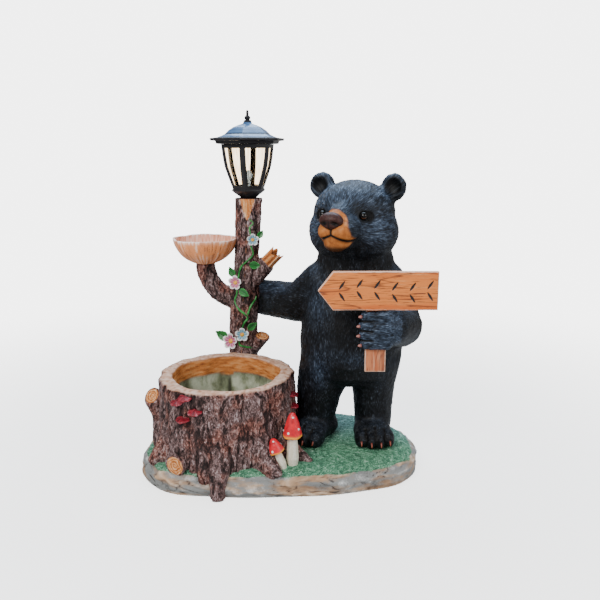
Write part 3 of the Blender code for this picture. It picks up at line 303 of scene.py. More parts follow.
def slab_skin(turn, rise):
    edge, out = slab_edge(turn)
    inset = linear(SLAB_PROFILE, 1, rise)
    height = linear(SLAB_PROFILE, 2, rise)
    level = 4 * share_of(0, ROCK_HEIGHT, height)
    wave = 0.6 * np.sin(math.tau * 5 * turn + 1.6 * level) + 0.4 * np.sin(math.tau * 11 * turn - 1.1 * level)
    inward = share_of(SLAB_TOP_FROM, 1, rise)
    flat = edge - out * (inset - ROCK_LEDGE * wave)[:, None]
    flat = flat * (1 - np.maximum(inward, share_of(0.03, 0, rise)))[:, None]
    places = np.column_stack([flat, height])
    turf = between(0.325, 0.345, rise + 0.022 * uneven(places, 0.022, 3) + 0.012 * uneven(places, 0.006, 4))
    bent = places + 0.006 * shaken(places, 0.02, 5, 6, 7)
    strata = uneven(bent * (0.8, 0.8, 3.6) + np.outer(places[:, 0], (0, 0, 0.5)), 0.030, 8)
    crack = hump(strata, 0.07) * between(-0.2, 0.5, uneven(places, 0.05, 9))
    chips = uneven(bent, 0.010, 10) + 0.5 * uneven(bent, 0.004, 11)
    tuft = uneven(places, 0.0042, 12) + 0.6 * uneven(places, 0.0026, 13)
    side = (1 - turf) * between(0.05, 0.09, rise)
    push = side * (0.0026 * strata + 0.0011 * chips - 0.0022 * crack - 0.0016)
    places[:, :2] += out * (push + turf * (1 - inward) * 0.0010 * tuft)[:, None]
    lift = turf * (0.0013 * tuft + 0.0020 * uneven(places, 0.035, 14)) * between(0.33, 0.37, rise)
    places[:, 2] += lift + side * between(0.2, 0.3, rise) * (0.0016 * chips - 0.002 * crack)
    places[:, 2] = np.maximum(places[:, 2], 0.0)
    relief = np.where(turf > 0.5, 0.50 + 0.22 * tuft, 0.55 + 0.20 * chips - 0.55 * crack + 0.22 * strata)
    return places, {"relief": relief, "turf": turf}


slab = wrapped("slab_and_turf", 460, 104, slab_skin)

paint = Paint("rock and turf")
stone, speckle = paint.brushed((0.060, 0.055, 0.052), (0.23, 0.235, 0.23), (0.62, 0.63, 0.63), 0.0034)
tan = paint.bands(paint.kept("relief"), (0.1, (0.075, 0.042, 0.025)), (0.45, (0.36, 0.20, 0.10)),
                  (0.65, (0.55, 0.34, 0.19)), (0.95, (0.78, 0.62, 0.47)))
tan_patches = paint.bands(paint.noise(0.036, 5.0, (0.45, 0.45, 1.7)), (0.46, 0), (0.60, 0.85))
rock = paint.over(stone, tan, tan_patches)
crumb = paint.maths("SINE", paint.maths("MULTIPLY", paint.noise(0.0050, 1.0), 30.0))
crumb = paint.maths("MULTIPLY_ADD", crumb, 0.24, paint.noise(0.0016, 2.0))
blades = paint.stirred(paint.kept("relief"), crumb, 0.85)
grass = paint.bands(blades, (0.05, (0.004, 0.022, 0.013)), (0.36, (0.029, 0.122, 0.066)),
                    (0.58, (0.080, 0.255, 0.140)), (0.80, (0.22, 0.44, 0.29)), (0.98, (0.44, 0.63, 0.49)))
# Painted sky light: towards the back the turf is painted lighter and bluer, as if lit by a blue sky.
sky_lit_grass = paint.bands(blades, (0.15, (0.006, 0.030, 0.034)), (0.50, (0.045, 0.150, 0.155)),
                        (0.9, (0.34, 0.52, 0.55)))
backward = paint.put("ShaderNodeSeparateXYZ", {"Vector": paint.place}).outputs["Y"]
sky_light_share = paint.put("ShaderNodeMapRange",
                  {"Value": backward, "From Min": -0.06, "From Max": 0.06, "To Max": 0.6})
grass = paint.over(grass, sky_lit_grass, sky_light_share.outputs[0])
paint.coat(paint.over(rock, grass, paint.kept("turf")), paint.maths("ADD", crumb, speckle), 0.0009,
           (0.55, 0.9), speckle)
finish_piece(slab, paint, "painted_rock", "rock_base")

# Stump planter
# A hollow casting like a sawn stump: cracked bark with spreading roots outside, a pale sawn rim, a band of
# bare wood painted inside the rim, and the unpainted resin below it.

STUMP_MIDDLE = np.array((-0.123, -0.024, 0.0))
STUMP_RADIUS = 0.150
RIM_HEIGHT = 0.218
RIM_ROUND = 0.004
RIM_DIP = 0.0012
CAVITY_FLOOR = 0.066
CAVITY_RADIUS = 0.12075
BAND_DEPTH = 0.044
GROOVE_DEGREES = 93
FOOT_SHARE = 0.015
WALL_SHARE = 0.76
RIM_SHARE = 0.82
INNER_SHARE = 0.97
ROOTS = [
    (12, 0.188, 7.0, False), (50, 0.176, 7.0, False), (150, 0.190, 8.0, False), (213, 0.186, 5.5, False),
    (259, 0.178, 5.5, False), (269, 0.191, 7.5, True), (306, 0.208, 6.5, False), (331, 0.216, 5.0, False),
]


def ring(angle):
    """Directions round the upright axis."""
    return np.column_stack([np.cos(angle), np.sin(angle), 0 * angle])


def turned_from(angle, degrees):
    """How far an angle is from a direction, from minus half a turn to half a turn."""
    return (angle - math.radians(degrees) + math.pi) % math.tau - math.pi


def stump_radius(angle, height):
    """The bark's radius with its lobes and roots; the root over the slab's edge narrows to its foot."""
    share = share_of(0, RIM_HEIGHT, height)
    lobes = 0.018 * np.sin(2 * angle + 0.6) + 0.014 * np.sin(3 * angle + 1.9) + 0.012 * np.sin(5 * angle)
    drift = 0.35 * np.sin(9 * height / RIM_HEIGHT)
    bark = 0.6 * np.sin(13 * angle + 3 * drift) + 0.4 * np.sin(21 * angle - 4 * drift + 1.0)
    radius = STUMP_RADIUS * (0.985 + lobes + 0.085 * (1 - share) ** 1.6) + 0.0028 * bark
    above = np.exp(-((np.maximum(height - TURF_HEIGHT, 0) / 0.032) ** 1.2))
    below = np.minimum(height / TURF_HEIGHT, 1)
    root = np.zeros_like(radius)
    flute = np.zeros_like(radius)
    for degrees, reach, half_width, over_edge in ROOTS:
        off = turned_from(angle, degrees)
        narrow = 0.68 + 0.32 * share_of(0, 0.075, height) if over_edge else 1.0
        lobe = np.exp(-(np.abs(off / (narrow * math.radians(half_width))) ** 3))
        root = np.maximum(root, (reach - radius) * lobe * (above if over_edge else above * below))
        flute = np.maximum(flute, hump(off, math.radians(1.5 * half_width)))
    return radius + root + 0.008 * flute * (1 - share)


def bark_forms(points, plate):
    """Furrows from 0 to 1, small curling ridges from -1 to 1, and the relief that the paint reads."""
    bent = points + 0.40 * plate * shaken(points, 1.5 * plate, 21, 22, 23)
    plates = (uneven(bent * (1, 1, 0.15), 1.05 * plate, 24)
              + 0.30 * uneven(bent * (1, 1, 0.3), 0.45 * plate, 25))
    crack = hump(plates, 0.13)
    curls = np.sin(7.0 * uneven(bent * (1, 1, 0.38), 0.0085, 26) + 5 * uneven(bent, 0.020, 27))
    curls = 0.50 * curls + 0.60 * uneven(bent * (1, 1, 0.45), 0.0036, 28)
    return crack, curls, 0.49 + 0.30 * curls - 0.56 * crack


def stump_skin(turn, rise):
    angle = math.tau * turn
    direction = ring(angle)
    wall = share_of(FOOT_SHARE, WALL_SHARE, rise)
    across = share_of(WALL_SHARE, RIM_SHARE, rise)
    down = share_of(RIM_SHARE, INNER_SHARE, rise)
    inside = (rise > RIM_SHARE).astype(float)
    height = 0.001 + (RIM_HEIGHT - 0.001) * wall
    radius = stump_radius(angle, height)
    points = direction * radius[:, None] + np.outer(height, (0, 0, 1))
    crack, curls, relief = bark_forms(points, 0.016)
    radius += (1 - between(0.985, 1.0, wall)) * (0.0015 * curls - 0.0034 * crack + 0.0012)
    corner = share_of(RIM_HEIGHT - RIM_ROUND, RIM_HEIGHT, height)
    radius -= RIM_ROUND * (1 - np.sqrt(np.clip(1 - corner**2, 0, 1)))
    radius *= share_of(0, FOOT_SHARE, rise)
    lip = 0.0022 * np.sin(5 * angle + 0.4) + 0.0016 * np.sin(8 * angle)
    inner = CAVITY_RADIUS + lip + 0.0012 * uneven(points, 0.014, 31) - 0.008 * down
    rim_lift = 0.0009 * uneven(direction * (radius * (1 - 0.25 * across))[:, None], 0.011, 32)
    rim_level = RIM_HEIGHT + rim_lift * np.sin(math.pi * across) - RIM_DIP * across**6
    height = np.where(rise > WALL_SHARE, rim_level, height)
    radius = np.where(rise > WALL_SHARE, radius + (inner - radius) * across, radius)
    height = np.where(inside > 0, RIM_HEIGHT - RIM_DIP - (RIM_HEIGHT - RIM_DIP - CAVITY_FLOOR) * down, height)
    depth = RIM_HEIGHT - height
    past_band = depth - BAND_DEPTH - 0.003 * np.sin(4 * angle + 1) - 0.002 * uneven(points, 0.02, 33)
    groove_off = (angle - math.radians(GROOVE_DEGREES)) * CAVITY_RADIUS
    back_groove = hump(groove_off, 0.0045) * between(0.0, 0.01, past_band)
    hollows = 0.0008 * uneven(points * (1, 1, 0.2) + depth[:, None], 0.012, 34)
    radius += inside * (hollows + 0.0022 * between(-0.003, 0.003, past_band) - 0.005 * back_groove)
    radius *= share_of(1, INNER_SHARE, rise)
    places = STUMP_MIDDLE + direction * radius[:, None]
    places[:, 2] = height
    over_front = solid_low[1] + 0.006 - places[:, 1]
    places[:, 1] += np.where(over_front > 0, over_front - 0.006 * np.tanh(over_front / 0.012), 0)
    worn = 0.5 + 0.35 * uneven(places * (1, 1, 3), 0.006, 35)
    unpainted = between(-0.001, 0.001, past_band)
    return places, {
        "relief": np.where(rise > 0.755, worn, relief),
        "sawn": between(0.748, 0.766, rise) * (1 - inside),
        "lining": inside * (1 - unpainted),
        "unpainted": inside * unpainted,
        "back_groove": inside * 0.85 * back_groove,
    }


stump = wrapped("stump_casting", 520, 148, stump_skin)


def bark_colour(paint):
    """Purple-brown bark with redder patches and a grey-pink brush on the ridges, worn off in flecks."""
    worms = paint.maths("SINE", paint.maths("MULTIPLY", paint.noise(0.0085, 2.0, (1, 1, 0.45)), 30.0))
    fleck = paint.maths("MULTIPLY_ADD", worms, 0.20, paint.noise(0.0018, 2.0, (1, 1, 0.5)))
    ridges = paint.maths("MULTIPLY_ADD", paint.kept("relief"), 0.82, 0.065)
    height = paint.stirred(ridges, fleck, 1.0)
    bark = paint.bands(height, (0.0, (0.012, 0.0065, 0.0065)), (0.26, (0.048, 0.026, 0.024)),
                       (0.52, (0.140, 0.082, 0.078)), (0.74, (0.27, 0.188, 0.186)),
                       (0.97, (0.49, 0.395, 0.41)))
    red_bark = paint.bands(height, (0.0, (0.018, 0.006, 0.005)), (0.26, (0.085, 0.027, 0.020)),
                           (0.52, (0.24, 0.090, 0.066)), (0.76, (0.37, 0.195, 0.160)),
                           (0.97, (0.52, 0.38, 0.35)))
    return paint.over(bark, red_bark, paint.blotched(0.045, 3.0, (0.47, 0), (0.62, 0.85))), fleck


def bark_coat(paint, colour, fleck):
    paint.coat(colour, paint.maths("ADD", fleck, paint.noise(0.0015, 2.0)), 0.0010, (0.55, 0.85), fleck, 0.25)


paint = Paint("stump paint")
colour, fleck = bark_colour(paint)
wear = paint.maths("ADD", paint.maths("MULTIPLY", paint.kept("relief"), 0.6),
                   paint.maths("MULTIPLY", paint.noise(0.007, 4.0), 0.4))
sawn = paint.bands(wear, (0.30, (0.36, 0.16, 0.085)), (0.44, (0.58, 0.335, 0.225)),
                   (0.62, (0.72, 0.51, 0.40)))
lining = paint.bands(paint.noise(0.010, 4.0, (0.35, 0.35, 1.6)), (0.28, (0.19, 0.052, 0.013)),
                     (0.50, (0.54, 0.185, 0.044)), (0.74, (0.74, 0.38, 0.15)))
resin = paint.bands(paint.noise(0.034, 5.0, (1, 1, 0.6)), (0.32, (0.055, 0.060, 0.034)),
                    (0.48, (0.20, 0.225, 0.14)), (0.62, (0.48, 0.52, 0.40)))
# The upright groove in the back wall is painted dark.
resin = paint.over(resin, (0.03, 0.032, 0.02), paint.kept("back_groove"))
for layer, part in ((sawn, "sawn"), (lining, "lining"), (resin, "unpainted")):
    colour = paint.over(colour, layer, paint.kept(part))
bark_coat(paint, colour, fleck)
finish_piece(stump, paint, "painted_bark", "stump_planter")

# Cut limb and cut root
# Two sawn ends that stand out of the stump's left side, cast with it: bark round them and an orange cut face
# with growth rings.

LIMB_STUB_RADIUS = 0.0195
CUT_ROOT_RADIUS = 0.0200
LIMB_PLATE = 0.013


def along_path(path, share):
    """Places along a path of points, and its direction there."""
    knots = np.array([tuple(p) for p in path], dtype=float)
    lengths = np.concatenate([[0], np.cumsum(np.linalg.norm(np.diff(knots, axis=0), axis=1))])
    ways = np.gradient(knots, lengths, axis=0)
    at = share * lengths[-1]
    middle, ahead = (np.column_stack([np.interp(at, lengths, row) for row in grid.T])
                     for grid in (knots, ways))
    return middle, ahead / np.linalg.norm(ahead, axis=1)[:, None]


def round_path(ahead, angle, level=(0.0, 1.0, 0.0)):
    """Directions square to a path, turned by this angle from one that is square to level too."""
    side = np.cross(ahead, level)
    side /= np.linalg.norm(side, axis=1)[:, None]
    return side * np.cos(angle)[:, None] + np.cross(ahead, side) * np.sin(angle)[:, None]


def curve_through(points, parts):
    """Points on a smooth curve through these."""
    knots = [Vector(p) for p in points]
    ends = [knots[0] * 2 - knots[1], *knots, knots[-1] * 2 - knots[-2]]
    path = [spline(*ends[i : i + 4], k / parts)[0] for i in range(len(knots) - 1) for k in range(parts)]
    return [*path, knots[-1]]


def bark_limb(name, points, radius, widths, around, rows, saw=0.06, jag=0.0, face=None):
    """A bark-covered limb along a curve, with a sawn or splintered end that may look along a direction."""
    path = curve_through(points, 12)
    radii = [radius * width for width in widths]
    marks = np.linspace(0, 1, len(radii))

    def skin(turn, rise):
        share = share_of(0, 1 - saw, rise)
        cap = share_of(1 - saw, 1, rise)
        middle, ahead = along_path(path, share)
        direction = round_path(ahead, math.tau * turn)
        reach = np.interp(share, marks, radii)
        crack, curls, relief = bark_forms(middle + direction * reach[:, None], LIMB_PLATE)
        reach += (1 - between(0.97, 1.0, share)) * (0.0011 * curls - 0.0020 * crack + 0.0008)
        reach -= 0.0012 * between(0.985, 1.0, share)
        reach *= 1 - cap
        places = middle + direction * reach[:, None]
        rings = np.sin(reach * 1150 + 3 * uneven(places, 0.008, 41)) + 0.8 * uneven(places, 0.0045, 43)
        places += ahead * (cap * (1 - cap) * 0.004 + 0.0003 * rings * cap)[:, None]
        if jag:
            places += ahead * (jag * between(0.9, 1, share) * uneven(direction * 0.01, 0.006, 42))[:, None]
        if face:
            slope = np.clip(-(direction @ np.array(face)) / (ahead @ np.array(face)), -1.1, 1.1)
            places += ahead * (reach * slope * between(0.62, 1.0, share))[:, None]
        relief = np.where(cap > 0.14, 0.46 + 0.28 * rings, relief)
        return places, {"relief": relief, "cut": between(0.10, 0.16, cap)}

    return wrapped(name, around, rows, skin)


def stump_limb(name, radius, route, widths, face):
    """A sawn limb out of the bark, by degrees, a share of the rim's height and an inset in radii."""
    points = []
    for degrees, share, inset in route:
        angle = math.radians(degrees)
        out = STUMP_RADIUS * 1.03 - inset * radius
        offset = Vector((out * math.cos(angle), out * math.sin(angle), share * RIM_HEIGHT))
        points.append(Vector(STUMP_MIDDLE) + offset)
    return bark_limb(name, points, radius, widths, 96, 112, saw=0.16, face=face)


limb_stub = stump_limb("stump_limb_stub", LIMB_STUB_RADIUS,
                       [(196, 0.10, 0.60), (189, 0.30, 0.27), (186, 0.55, 0.28), (188, 0.775, -0.66)],
                       (0.95, 1.04, 1.03, 1.0), (-0.34, -0.62, 0.71))
cut_root = stump_limb("stump_cut_root", CUT_ROOT_RADIUS,
                      [(236, 0.66, 0.95), (235, 0.46, 0.50), (233, 0.31, 0.10), (237, 0.280, -1.10)],
                      (0.75, 1.0, 1.18, 1.14), (-0.42, -0.90, 0.05))


def cut_wood(paint):
    """Raw orange wood with darker rings and pale high points."""
    wood = paint.bands(paint.kept("relief"), (0.05, (0.15, 0.034, 0.007)), (0.42, (0.56, 0.170, 0.034)),
                       (0.74, (0.72, 0.38, 0.16)), (0.95, (0.86, 0.68, 0.52)))
    flecks = paint.noise(0.0022)
    wood = paint.over(wood, (0.80, 0.58, 0.42), paint.bands(flecks, (0.60, 0), (0.68, 0.8)))
    wood = paint.over(wood, (0.16, 0.045, 0.012), paint.bands(flecks, (0.32, 0.8), (0.40, 0)))
    return paint.over(wood, (0.60, 0.200, 0.040), paint.blotched(0.008, 3.0, (0.40, 0), (0.7, 0.25)))


limb_paint = Paint("bark with cut ends")
colour, fleck = bark_colour(limb_paint)
bark_coat(limb_paint, limb_paint.over(colour, cut_wood(limb_paint), limb_paint.kept("cut")), fleck)
for piece in (limb_stub, cut_root):
    finish_piece(piece, limb_paint, "painted_bark", "stump_planter")

# Tree trunk with its branch, snag and stub
# A thick knotted trunk cast in one with the branch that carries the bowl, a broken snag of splintered wood
# and a short sawn stub. The bark is split to bare wood in a V just under the lantern.

TRUNK_MIDDLE = np.array((-0.085, 0.150, 0.0))
TRUNK_FOOT = 0.03
TRUNK_TOP = 0.597
TRUNK_RADIUS = 0.030
TRUNK_LINE = np.array([
    (0.0, -0.43, 0.13, 1.55), (0.16, -0.43, 0.10, 1.38), (0.30, -0.43, 0.07, 1.16), (0.42, -0.43, 0.03, 1.10),
    (0.50, -0.37, 0.00, 1.14), (0.58, -0.23, 0.00, 1.16), (0.66, -0.10, 0.00, 1.06), (0.74, 0.00, 0.00, 0.97),
    (0.84, 0.10, 0.00, 0.95), (0.93, 0.20, 0.00, 1.00), (1.0, 0.23, 0.00, 1.03),
])
NOTCH_DEGREES = -94
NOTCH_LEVEL = 0.965 * TRUNK_TOP
NOTCH_DROP = 0.029
NOTCH_FLARE = 0.049
NOTCH_HALF_WIDTH = 0.0192
SNAG_RADIUS = 0.022
SNAG_ALONG = Vector((0.69, -0.128, 0.715)).normalized()
SPLINTER_SHARE = 0.86
STUB_RADIUS = 0.018
BRANCH_RADIUS = 0.023
BOWL_MIDDLE = Vector((-0.187, 0.152, 0.0))
BOWL_RIM = 0.500
BOWL_DEPTH = 0.064


def eased(table, column, at):
    """The value in a table's column, eased between its rows."""
    marks = table[:, 0]
    index = np.clip(np.searchsorted(marks, at, side="right") - 1, 0, len(marks) - 2)
    share = between(marks[index], marks[index + 1], at)
    return table[index, column] * (1 - share) + table[index + 1, column] * share


def trunk_middle(height):
    height = np.atleast_1d(height)
    at = height / TRUNK_TOP
    shift = np.column_stack([eased(TRUNK_LINE, 1, at), eased(TRUNK_LINE, 2, at), 0 * at]) * TRUNK_RADIUS
    return TRUNK_MIDDLE + shift + np.outer(height, (0, 0, 1))


def trunk_girth(height):
    """The trunk's mean radius."""
    return TRUNK_RADIUS * eased(TRUNK_LINE, 3, height / TRUNK_TOP)


def trunk_radius(angle, height):
    share = height / TRUNK_TOP
    ridges = 0.6 * np.sin(7 * angle + 5 * share) + 0.4 * np.sin(10 * angle - 7 * share)
    return trunk_girth(height) + 0.0018 * ridges


def trunk_skin(turn, rise):
    angle = math.tau * turn
    height = TRUNK_FOOT + (TRUNK_TOP - TRUNK_FOOT) * share_of(0.01, 0.97, rise)
    lid = share_of(0.97, 1, rise)
    middle = trunk_middle(height)
    direction = ring(angle)
    radius = trunk_radius(angle, height)
    points = middle + direction * radius[:, None]
    crack, curls, relief = bark_forms(points, LIMB_PLATE)
    off_front = np.abs(turned_from(angle, NOTCH_DEGREES))
    front = off_front < 1.3
    drop = NOTCH_LEVEL - height
    half_width = share_of(NOTCH_DROP, NOTCH_DROP - NOTCH_FLARE, drop) ** 0.75 * NOTCH_HALF_WIDTH
    inside_notch = half_width - off_front * radius + 0.0012 * uneven(points, 0.007, 51)
    bare = between(-0.0004, 0.0010, inside_notch) * front
    lip = hump(inside_notch + 0.0012, 0.0016) * front * (drop < 0.040)
    fibres = uneven(points * (1, 1, 0.12), 0.0028, 52)
    radius += (1 - bare) * (0.0012 * curls - 0.0024 * crack + 0.0009) + bare * (0.0003 * fibres - 0.0022)
    radius += 0.0008 * lip
    radius *= (1 - lid) * share_of(0, 0.01, rise)
    relief = (1 - bare) * relief + bare * (0.55 + 0.35 * fibres) + 0.3 * lip
    # The bark is painted paler towards the top of the trunk, from 0.36 m to 0.53 m up.
    relief += 0.09 * between(0.36, 0.53, height) * (1 - bare)
    relief = np.where(lid > 0.01, 0.1, relief)
    return middle + direction * radius[:, None], {"relief": relief, "cut": bare * (lid < 0.01)}


def steps_from(foot, *offsets):
    return [foot + Vector(offset) for offset in offsets]


trunk = wrapped("trunk_casting", 150, 340, trunk_skin)
bowl_foot = BOWL_MIDDLE + Vector((0, 0, BOWL_RIM - BOWL_DEPTH))
branch_root = Vector(trunk_middle(bowl_foot.z - 0.096)[0]) + Vector((-0.004, 0.004, 0))
branch_route = steps_from(branch_root, (0.018, 0, -0.010), (0, 0, 0)) + steps_from(
    bowl_foot, (0.040, 0, -0.074), (0.013, 0, -0.046), (0.001, 0, -0.015), (0, 0, 0.010))
branch = bark_limb("trunk_branch", branch_route, BRANCH_RADIUS, (1.1, 1.12, 1.04, 1.0, 0.98, 0.95), 96, 120)
snag_route = steps_from(Vector(trunk_middle(0.645 * TRUNK_TOP)[0]),
                        (0, 0, 0), (0.0257, -0.005, 0.0257), (0.0538, -0.010, 0.0558))
snag = bark_limb("trunk_snag", snag_route, SNAG_RADIUS, (1.12, 1.0, 0.95), 96, 80, jag=0.004)
stub_route = steps_from(Vector(trunk_middle(0.34 * TRUNK_TOP)[0]),
                        (0, 0, 0), (0.0222, -0.005, 0.0222), (0.0479, -0.010, 0.0522))
stub = bark_limb("trunk_stub", stub_route, STUB_RADIUS, (1.1, 1.03, 1.0), 84, 80,
                 saw=0.18, face=(0.25, -0.38, 0.89))
splinter_path = [snag_route[-1] + SNAG_ALONG * SNAG_RADIUS * share for share in (-0.6, 0.0, 0.73, 1.50)]


def splinter_skin(turn, rise):
    """Raw wood torn along its grain, with teeth of uneven length round a hollow middle."""
    angle = math.tau * turn
    share = share_of(0, SPLINTER_SHARE, rise)
    cap = share_of(SPLINTER_SHARE, 1, rise)
    middle, ahead = along_path(splinter_path, share)
    grooves = uneven(ring(angle) * 0.017, 0.0045, 53)
    fine = uneven((ring(angle) + np.outer(share, (0, 0, 0.1))) * 0.017, 0.0021, 54)
    radius = SNAG_RADIUS * (0.82 - 0.05 * share) + 0.0025 * grooves + 0.0006 * fine
    teeth = 0.30 * SNAG_RADIUS * np.sin(math.tau * 4 * turn + 0.5) + 0.005 * grooves
    places = middle + round_path(ahead, angle) * (radius * (1 - cap))[:, None]
    places += ahead * (teeth * between(0.5, 1.0, share) * (1 - cap) - 0.010 * between(0, 0.6, cap))[:, None]
    # The torn end is painted darker into its hollow middle: painted shade.
    return places, {"relief": 0.44 + 0.46 * grooves + 0.30 * fine - 0.5 * cap, "cut": 1.0 + 0 * turn}


splinters = wrapped("trunk_snag_splinters", 110, 60, splinter_skin)
for piece in (trunk, branch, snag, stub, splinters):
    finish_piece(piece, limb_paint, "painted_bark", "tree_trunk")

# Feeder bowl
# A shallow bowl carved from one piece of wood and set in the crook of the branch. Its outside is combed with
# upright tool marks, and its rim and inside are rubbed nearly white.

BOWL_RADIUS = 0.080
BOWL_WALL = 0.0065
SIDE_SHARE = 0.55
LIP_SHARE = 0.62


def bowl_skin(turn, rise):
    angle = math.tau * turn
    outside = share_of(0, SIDE_SHARE, rise)
    rim = share_of(SIDE_SHARE, LIP_SHARE, rise)
    inside = share_of(LIP_SHARE, 1, rise)
    off_rim = rise - (SIDE_SHARE + LIP_SHARE) / 2
    swell = (1 - np.sqrt(1 - (0.985 * outside) ** 2)) / (1 - math.sqrt(1 - 0.985**2))
    arc = np.sin(math.pi / 2 * (1 - inside))
    deep = (BOWL_DEPTH - BOWL_WALL) * np.sqrt(np.clip(1 - arc**2, 0, 1))
    regions = [rise > LIP_SHARE, rise > SIDE_SHARE]
    radius = np.select(regions, [(BOWL_RADIUS - BOWL_WALL) * arc, BOWL_RADIUS - BOWL_WALL * rim],
                       BOWL_RADIUS * outside)
    height = np.select(regions, [BOWL_RIM - deep, BOWL_RIM + 0.0008 * np.sin(math.pi * rim)],
                       BOWL_RIM - BOWL_DEPTH + BOWL_DEPTH * swell)
    share = radius / BOWL_RADIUS
    wall = ring(angle) * BOWL_RADIUS
    bend = 0.002 * uneven(wall + np.outer(height, (0, 0, 1)), 0.02, 64)
    upright = wall + np.column_stack([bend, bend, 0.16 * height])
    marks = 0.95 * uneven(upright, 0.0032, 61) + 0.50 * uneven(upright, 0.0075, 62)
    reach = radius * (1 + 0.018 * np.sin(3 * angle + 0.8) + 0.014 * np.sin(7 * angle))
    reach += np.where(rise < SIDE_SHARE, 0.0008, -0.0005) * marks * np.clip(share * 3, 0, 1)
    places = np.array(BOWL_MIDDLE) + ring(angle) * reach[:, None]
    places[:, 2] = height + 0.0010 * np.sin(4 * angle + 1.1) * share**6
    places[:, 2] -= 0.0012 * np.clip(uneven(places, 0.008, 63), 0, 1) * (np.abs(off_rim) < 0.045)
    relief = 0.5 + 0.42 * marks + 0.45 * hump(off_rim, 0.028)
    return places, {"relief": relief, "rubbed": between(0.53, 0.56, rise) * (1 - 0.45 * inside)}


bowl = wrapped("carved_bowl", 360, 84, bowl_skin)
paint = Paint("bowl wood paint")
wood, speckle = paint.brushed((0.29, 0.062, 0.014), (0.88, 0.310, 0.100), (0.98, 0.66, 0.47), 0.0026)
pinker = paint.bands(paint.kept("relief"), (0.1, (0.50, 0.20, 0.11)), (0.50, (0.80, 0.42, 0.29)),
                     (0.95, (0.94, 0.78, 0.70)))
wood = paint.over(wood, pinker, paint.blotched(0.030, 3.0, (0.52, 0), (0.68, 0.50)))
paint.coat(paint.over(wood, pinker, paint.kept("rubbed")), speckle, 0.0004, (0.45, 0.75), speckle)
finish_piece(bowl, paint, "painted_wood", "feeder_bowl")

# Bear
# The bear is one hollow casting, built up here from rounded masses as a modeller builds clay, then skinned
# and combed with fur strokes. The paint is near black with a blue-grey brush, a tan muzzle and glossy eyes.
# Its paler blue-grey sheen on the upper faces, brow, cheeks and fist is part brush, part painted highlight.

BEAR_UNIT = 0.010
VOXEL = 0.0046
HEAD_FROM = 44.5
FACE_FRONT = -5.2
EAR_SLANT = 14
TOE_PITCH = 2.15
TOES = [(TOE_PITCH * across, -4.3 + 0.45 * across**2) for across in (-1.5, -0.5, 0.5, 1.5)]
FINGER_TOP = 33.0
FINGER_PITCH = 2.02
FINGERS = [(0.9 + 0.35 * abs(finger - 1.5), FINGER_TOP - FINGER_PITCH * finger) for finger in range(4)]
ELBOW = (10.5, -3.2, 27.8)
WRIST = (5.3, -13.5, 30.0)
EYE_PLACES = [(-4.45, -7.0, 1.25), (4.45, -7.05, 1.25)]
MOUTH_TURN = math.radians(78)
MUZZLE_EDGE = np.array([
    (-6.2, 0.0), (-5.7, 1.6), (-5.0, 2.7), (-4.0, 3.7), (-3.0, 4.30), (-1.5, 3.85), (0.0, 3.25), (1.4, 2.45),
    (2.4, 1.75), (3.0, 1.2),
])
TORSO = np.array([
    (13.2, 5.0, 4.6, 1.4), (14.2, 8.6, 7.0, 1.4), (16.5, 10.9, 8.7, 1.3), (20.0, 11.6, 9.7, 1.1),
    (23.5, 11.7, 10.1, 1.0), (27.0, 11.5, 9.9, 1.0), (31.0, 10.9, 9.3, 1.1), (35.0, 10.2, 8.5, 1.3),
    (38.5, 9.6, 7.8, 1.5), (41.5, 8.7, 7.3, 1.2), (44.5, 8.0, 7.0, 0.8), (48.0, 7.4, 6.8, 0.5),
])
TUCK = 0.004
TUCK_REACH = 0.012
bear_place = Matrix.Translation((0.163, 0.0, TURF_HEIGHT)) @ Matrix.Scale(BEAR_UNIT, 4)
head_place = Matrix.Translation((0, 0, 51.3)) @ Matrix.Rotation(math.radians(-23.0), 4, "Z")
body_place = Matrix.Identity(4)
masses = []


def moved(points, matrix):
    grid = np.array(matrix)
    return points @ grid[:3, :3].T + grid[:3, 3]


def settle(form):
    """Puts a form's place into its mesh."""
    bpy.ops.object.select_all(action="DESELECT")
    form.select_set(True)
    bpy.context.view_layer.objects.active = form
    bpy.ops.object.transform_apply(location=True, rotation=True, scale=True)


def joined(forms, first):
    """Makes the forms one object, which is the first one."""
    bpy.ops.object.select_all(action="DESELECT")
    for form in forms:
        form.select_set(True)
    bpy.context.view_layer.objects.active = first
    bpy.ops.object.join()
    return first


def clay(subdivisions, placed):
    bpy.ops.mesh.primitive_ico_sphere_add(subdivisions=subdivisions, radius=1)
    bpy.context.object.matrix_world = placed
    return bpy.context.object


def ball(centre, radii, within=body_place, turn=(0, 0, 0)):
    rotation = Euler([math.radians(a) for a in turn]).to_matrix().to_4x4()
    size = Matrix.Diagonal(radii).to_4x4()
    masses.append(clay(4, bear_place @ within @ Matrix.Translation(centre) @ rotation @ size))


def limb(points, radii, within=body_place):
    """Lengths of limb, each the hull of the balls at its two ends."""
    knots = list(zip(points, radii))
    for pair in zip(knots, knots[1:]):
        ends = [clay(3, bear_place @ within @ Matrix.Translation(centre) @ Matrix.Scale(radius, 4))
                for centre, radius in pair]
        masses.append(joined(ends, ends[0]))
        open_mesh()
        bpy.ops.mesh.convex_hull()
        close_mesh()


def torso_skin(turn, rise):
    height = TORSO[0, 0] + (TORSO[-1, 0] - TORSO[0, 0]) * share_of(0.02, 0.98, rise)
    close = share_of(0, 0.02, np.minimum(rise, 1 - rise))
    angle = math.tau * turn
    x = np.cos(angle) * eased(TORSO, 1, height) * close + 0.6 * between(34.0, 43.0, height)
    y = np.sin(angle) * eased(TORSO, 2, height) * close + eased(TORSO, 3, height)
    return moved(np.column_stack([x, y, height]), bear_place), {}


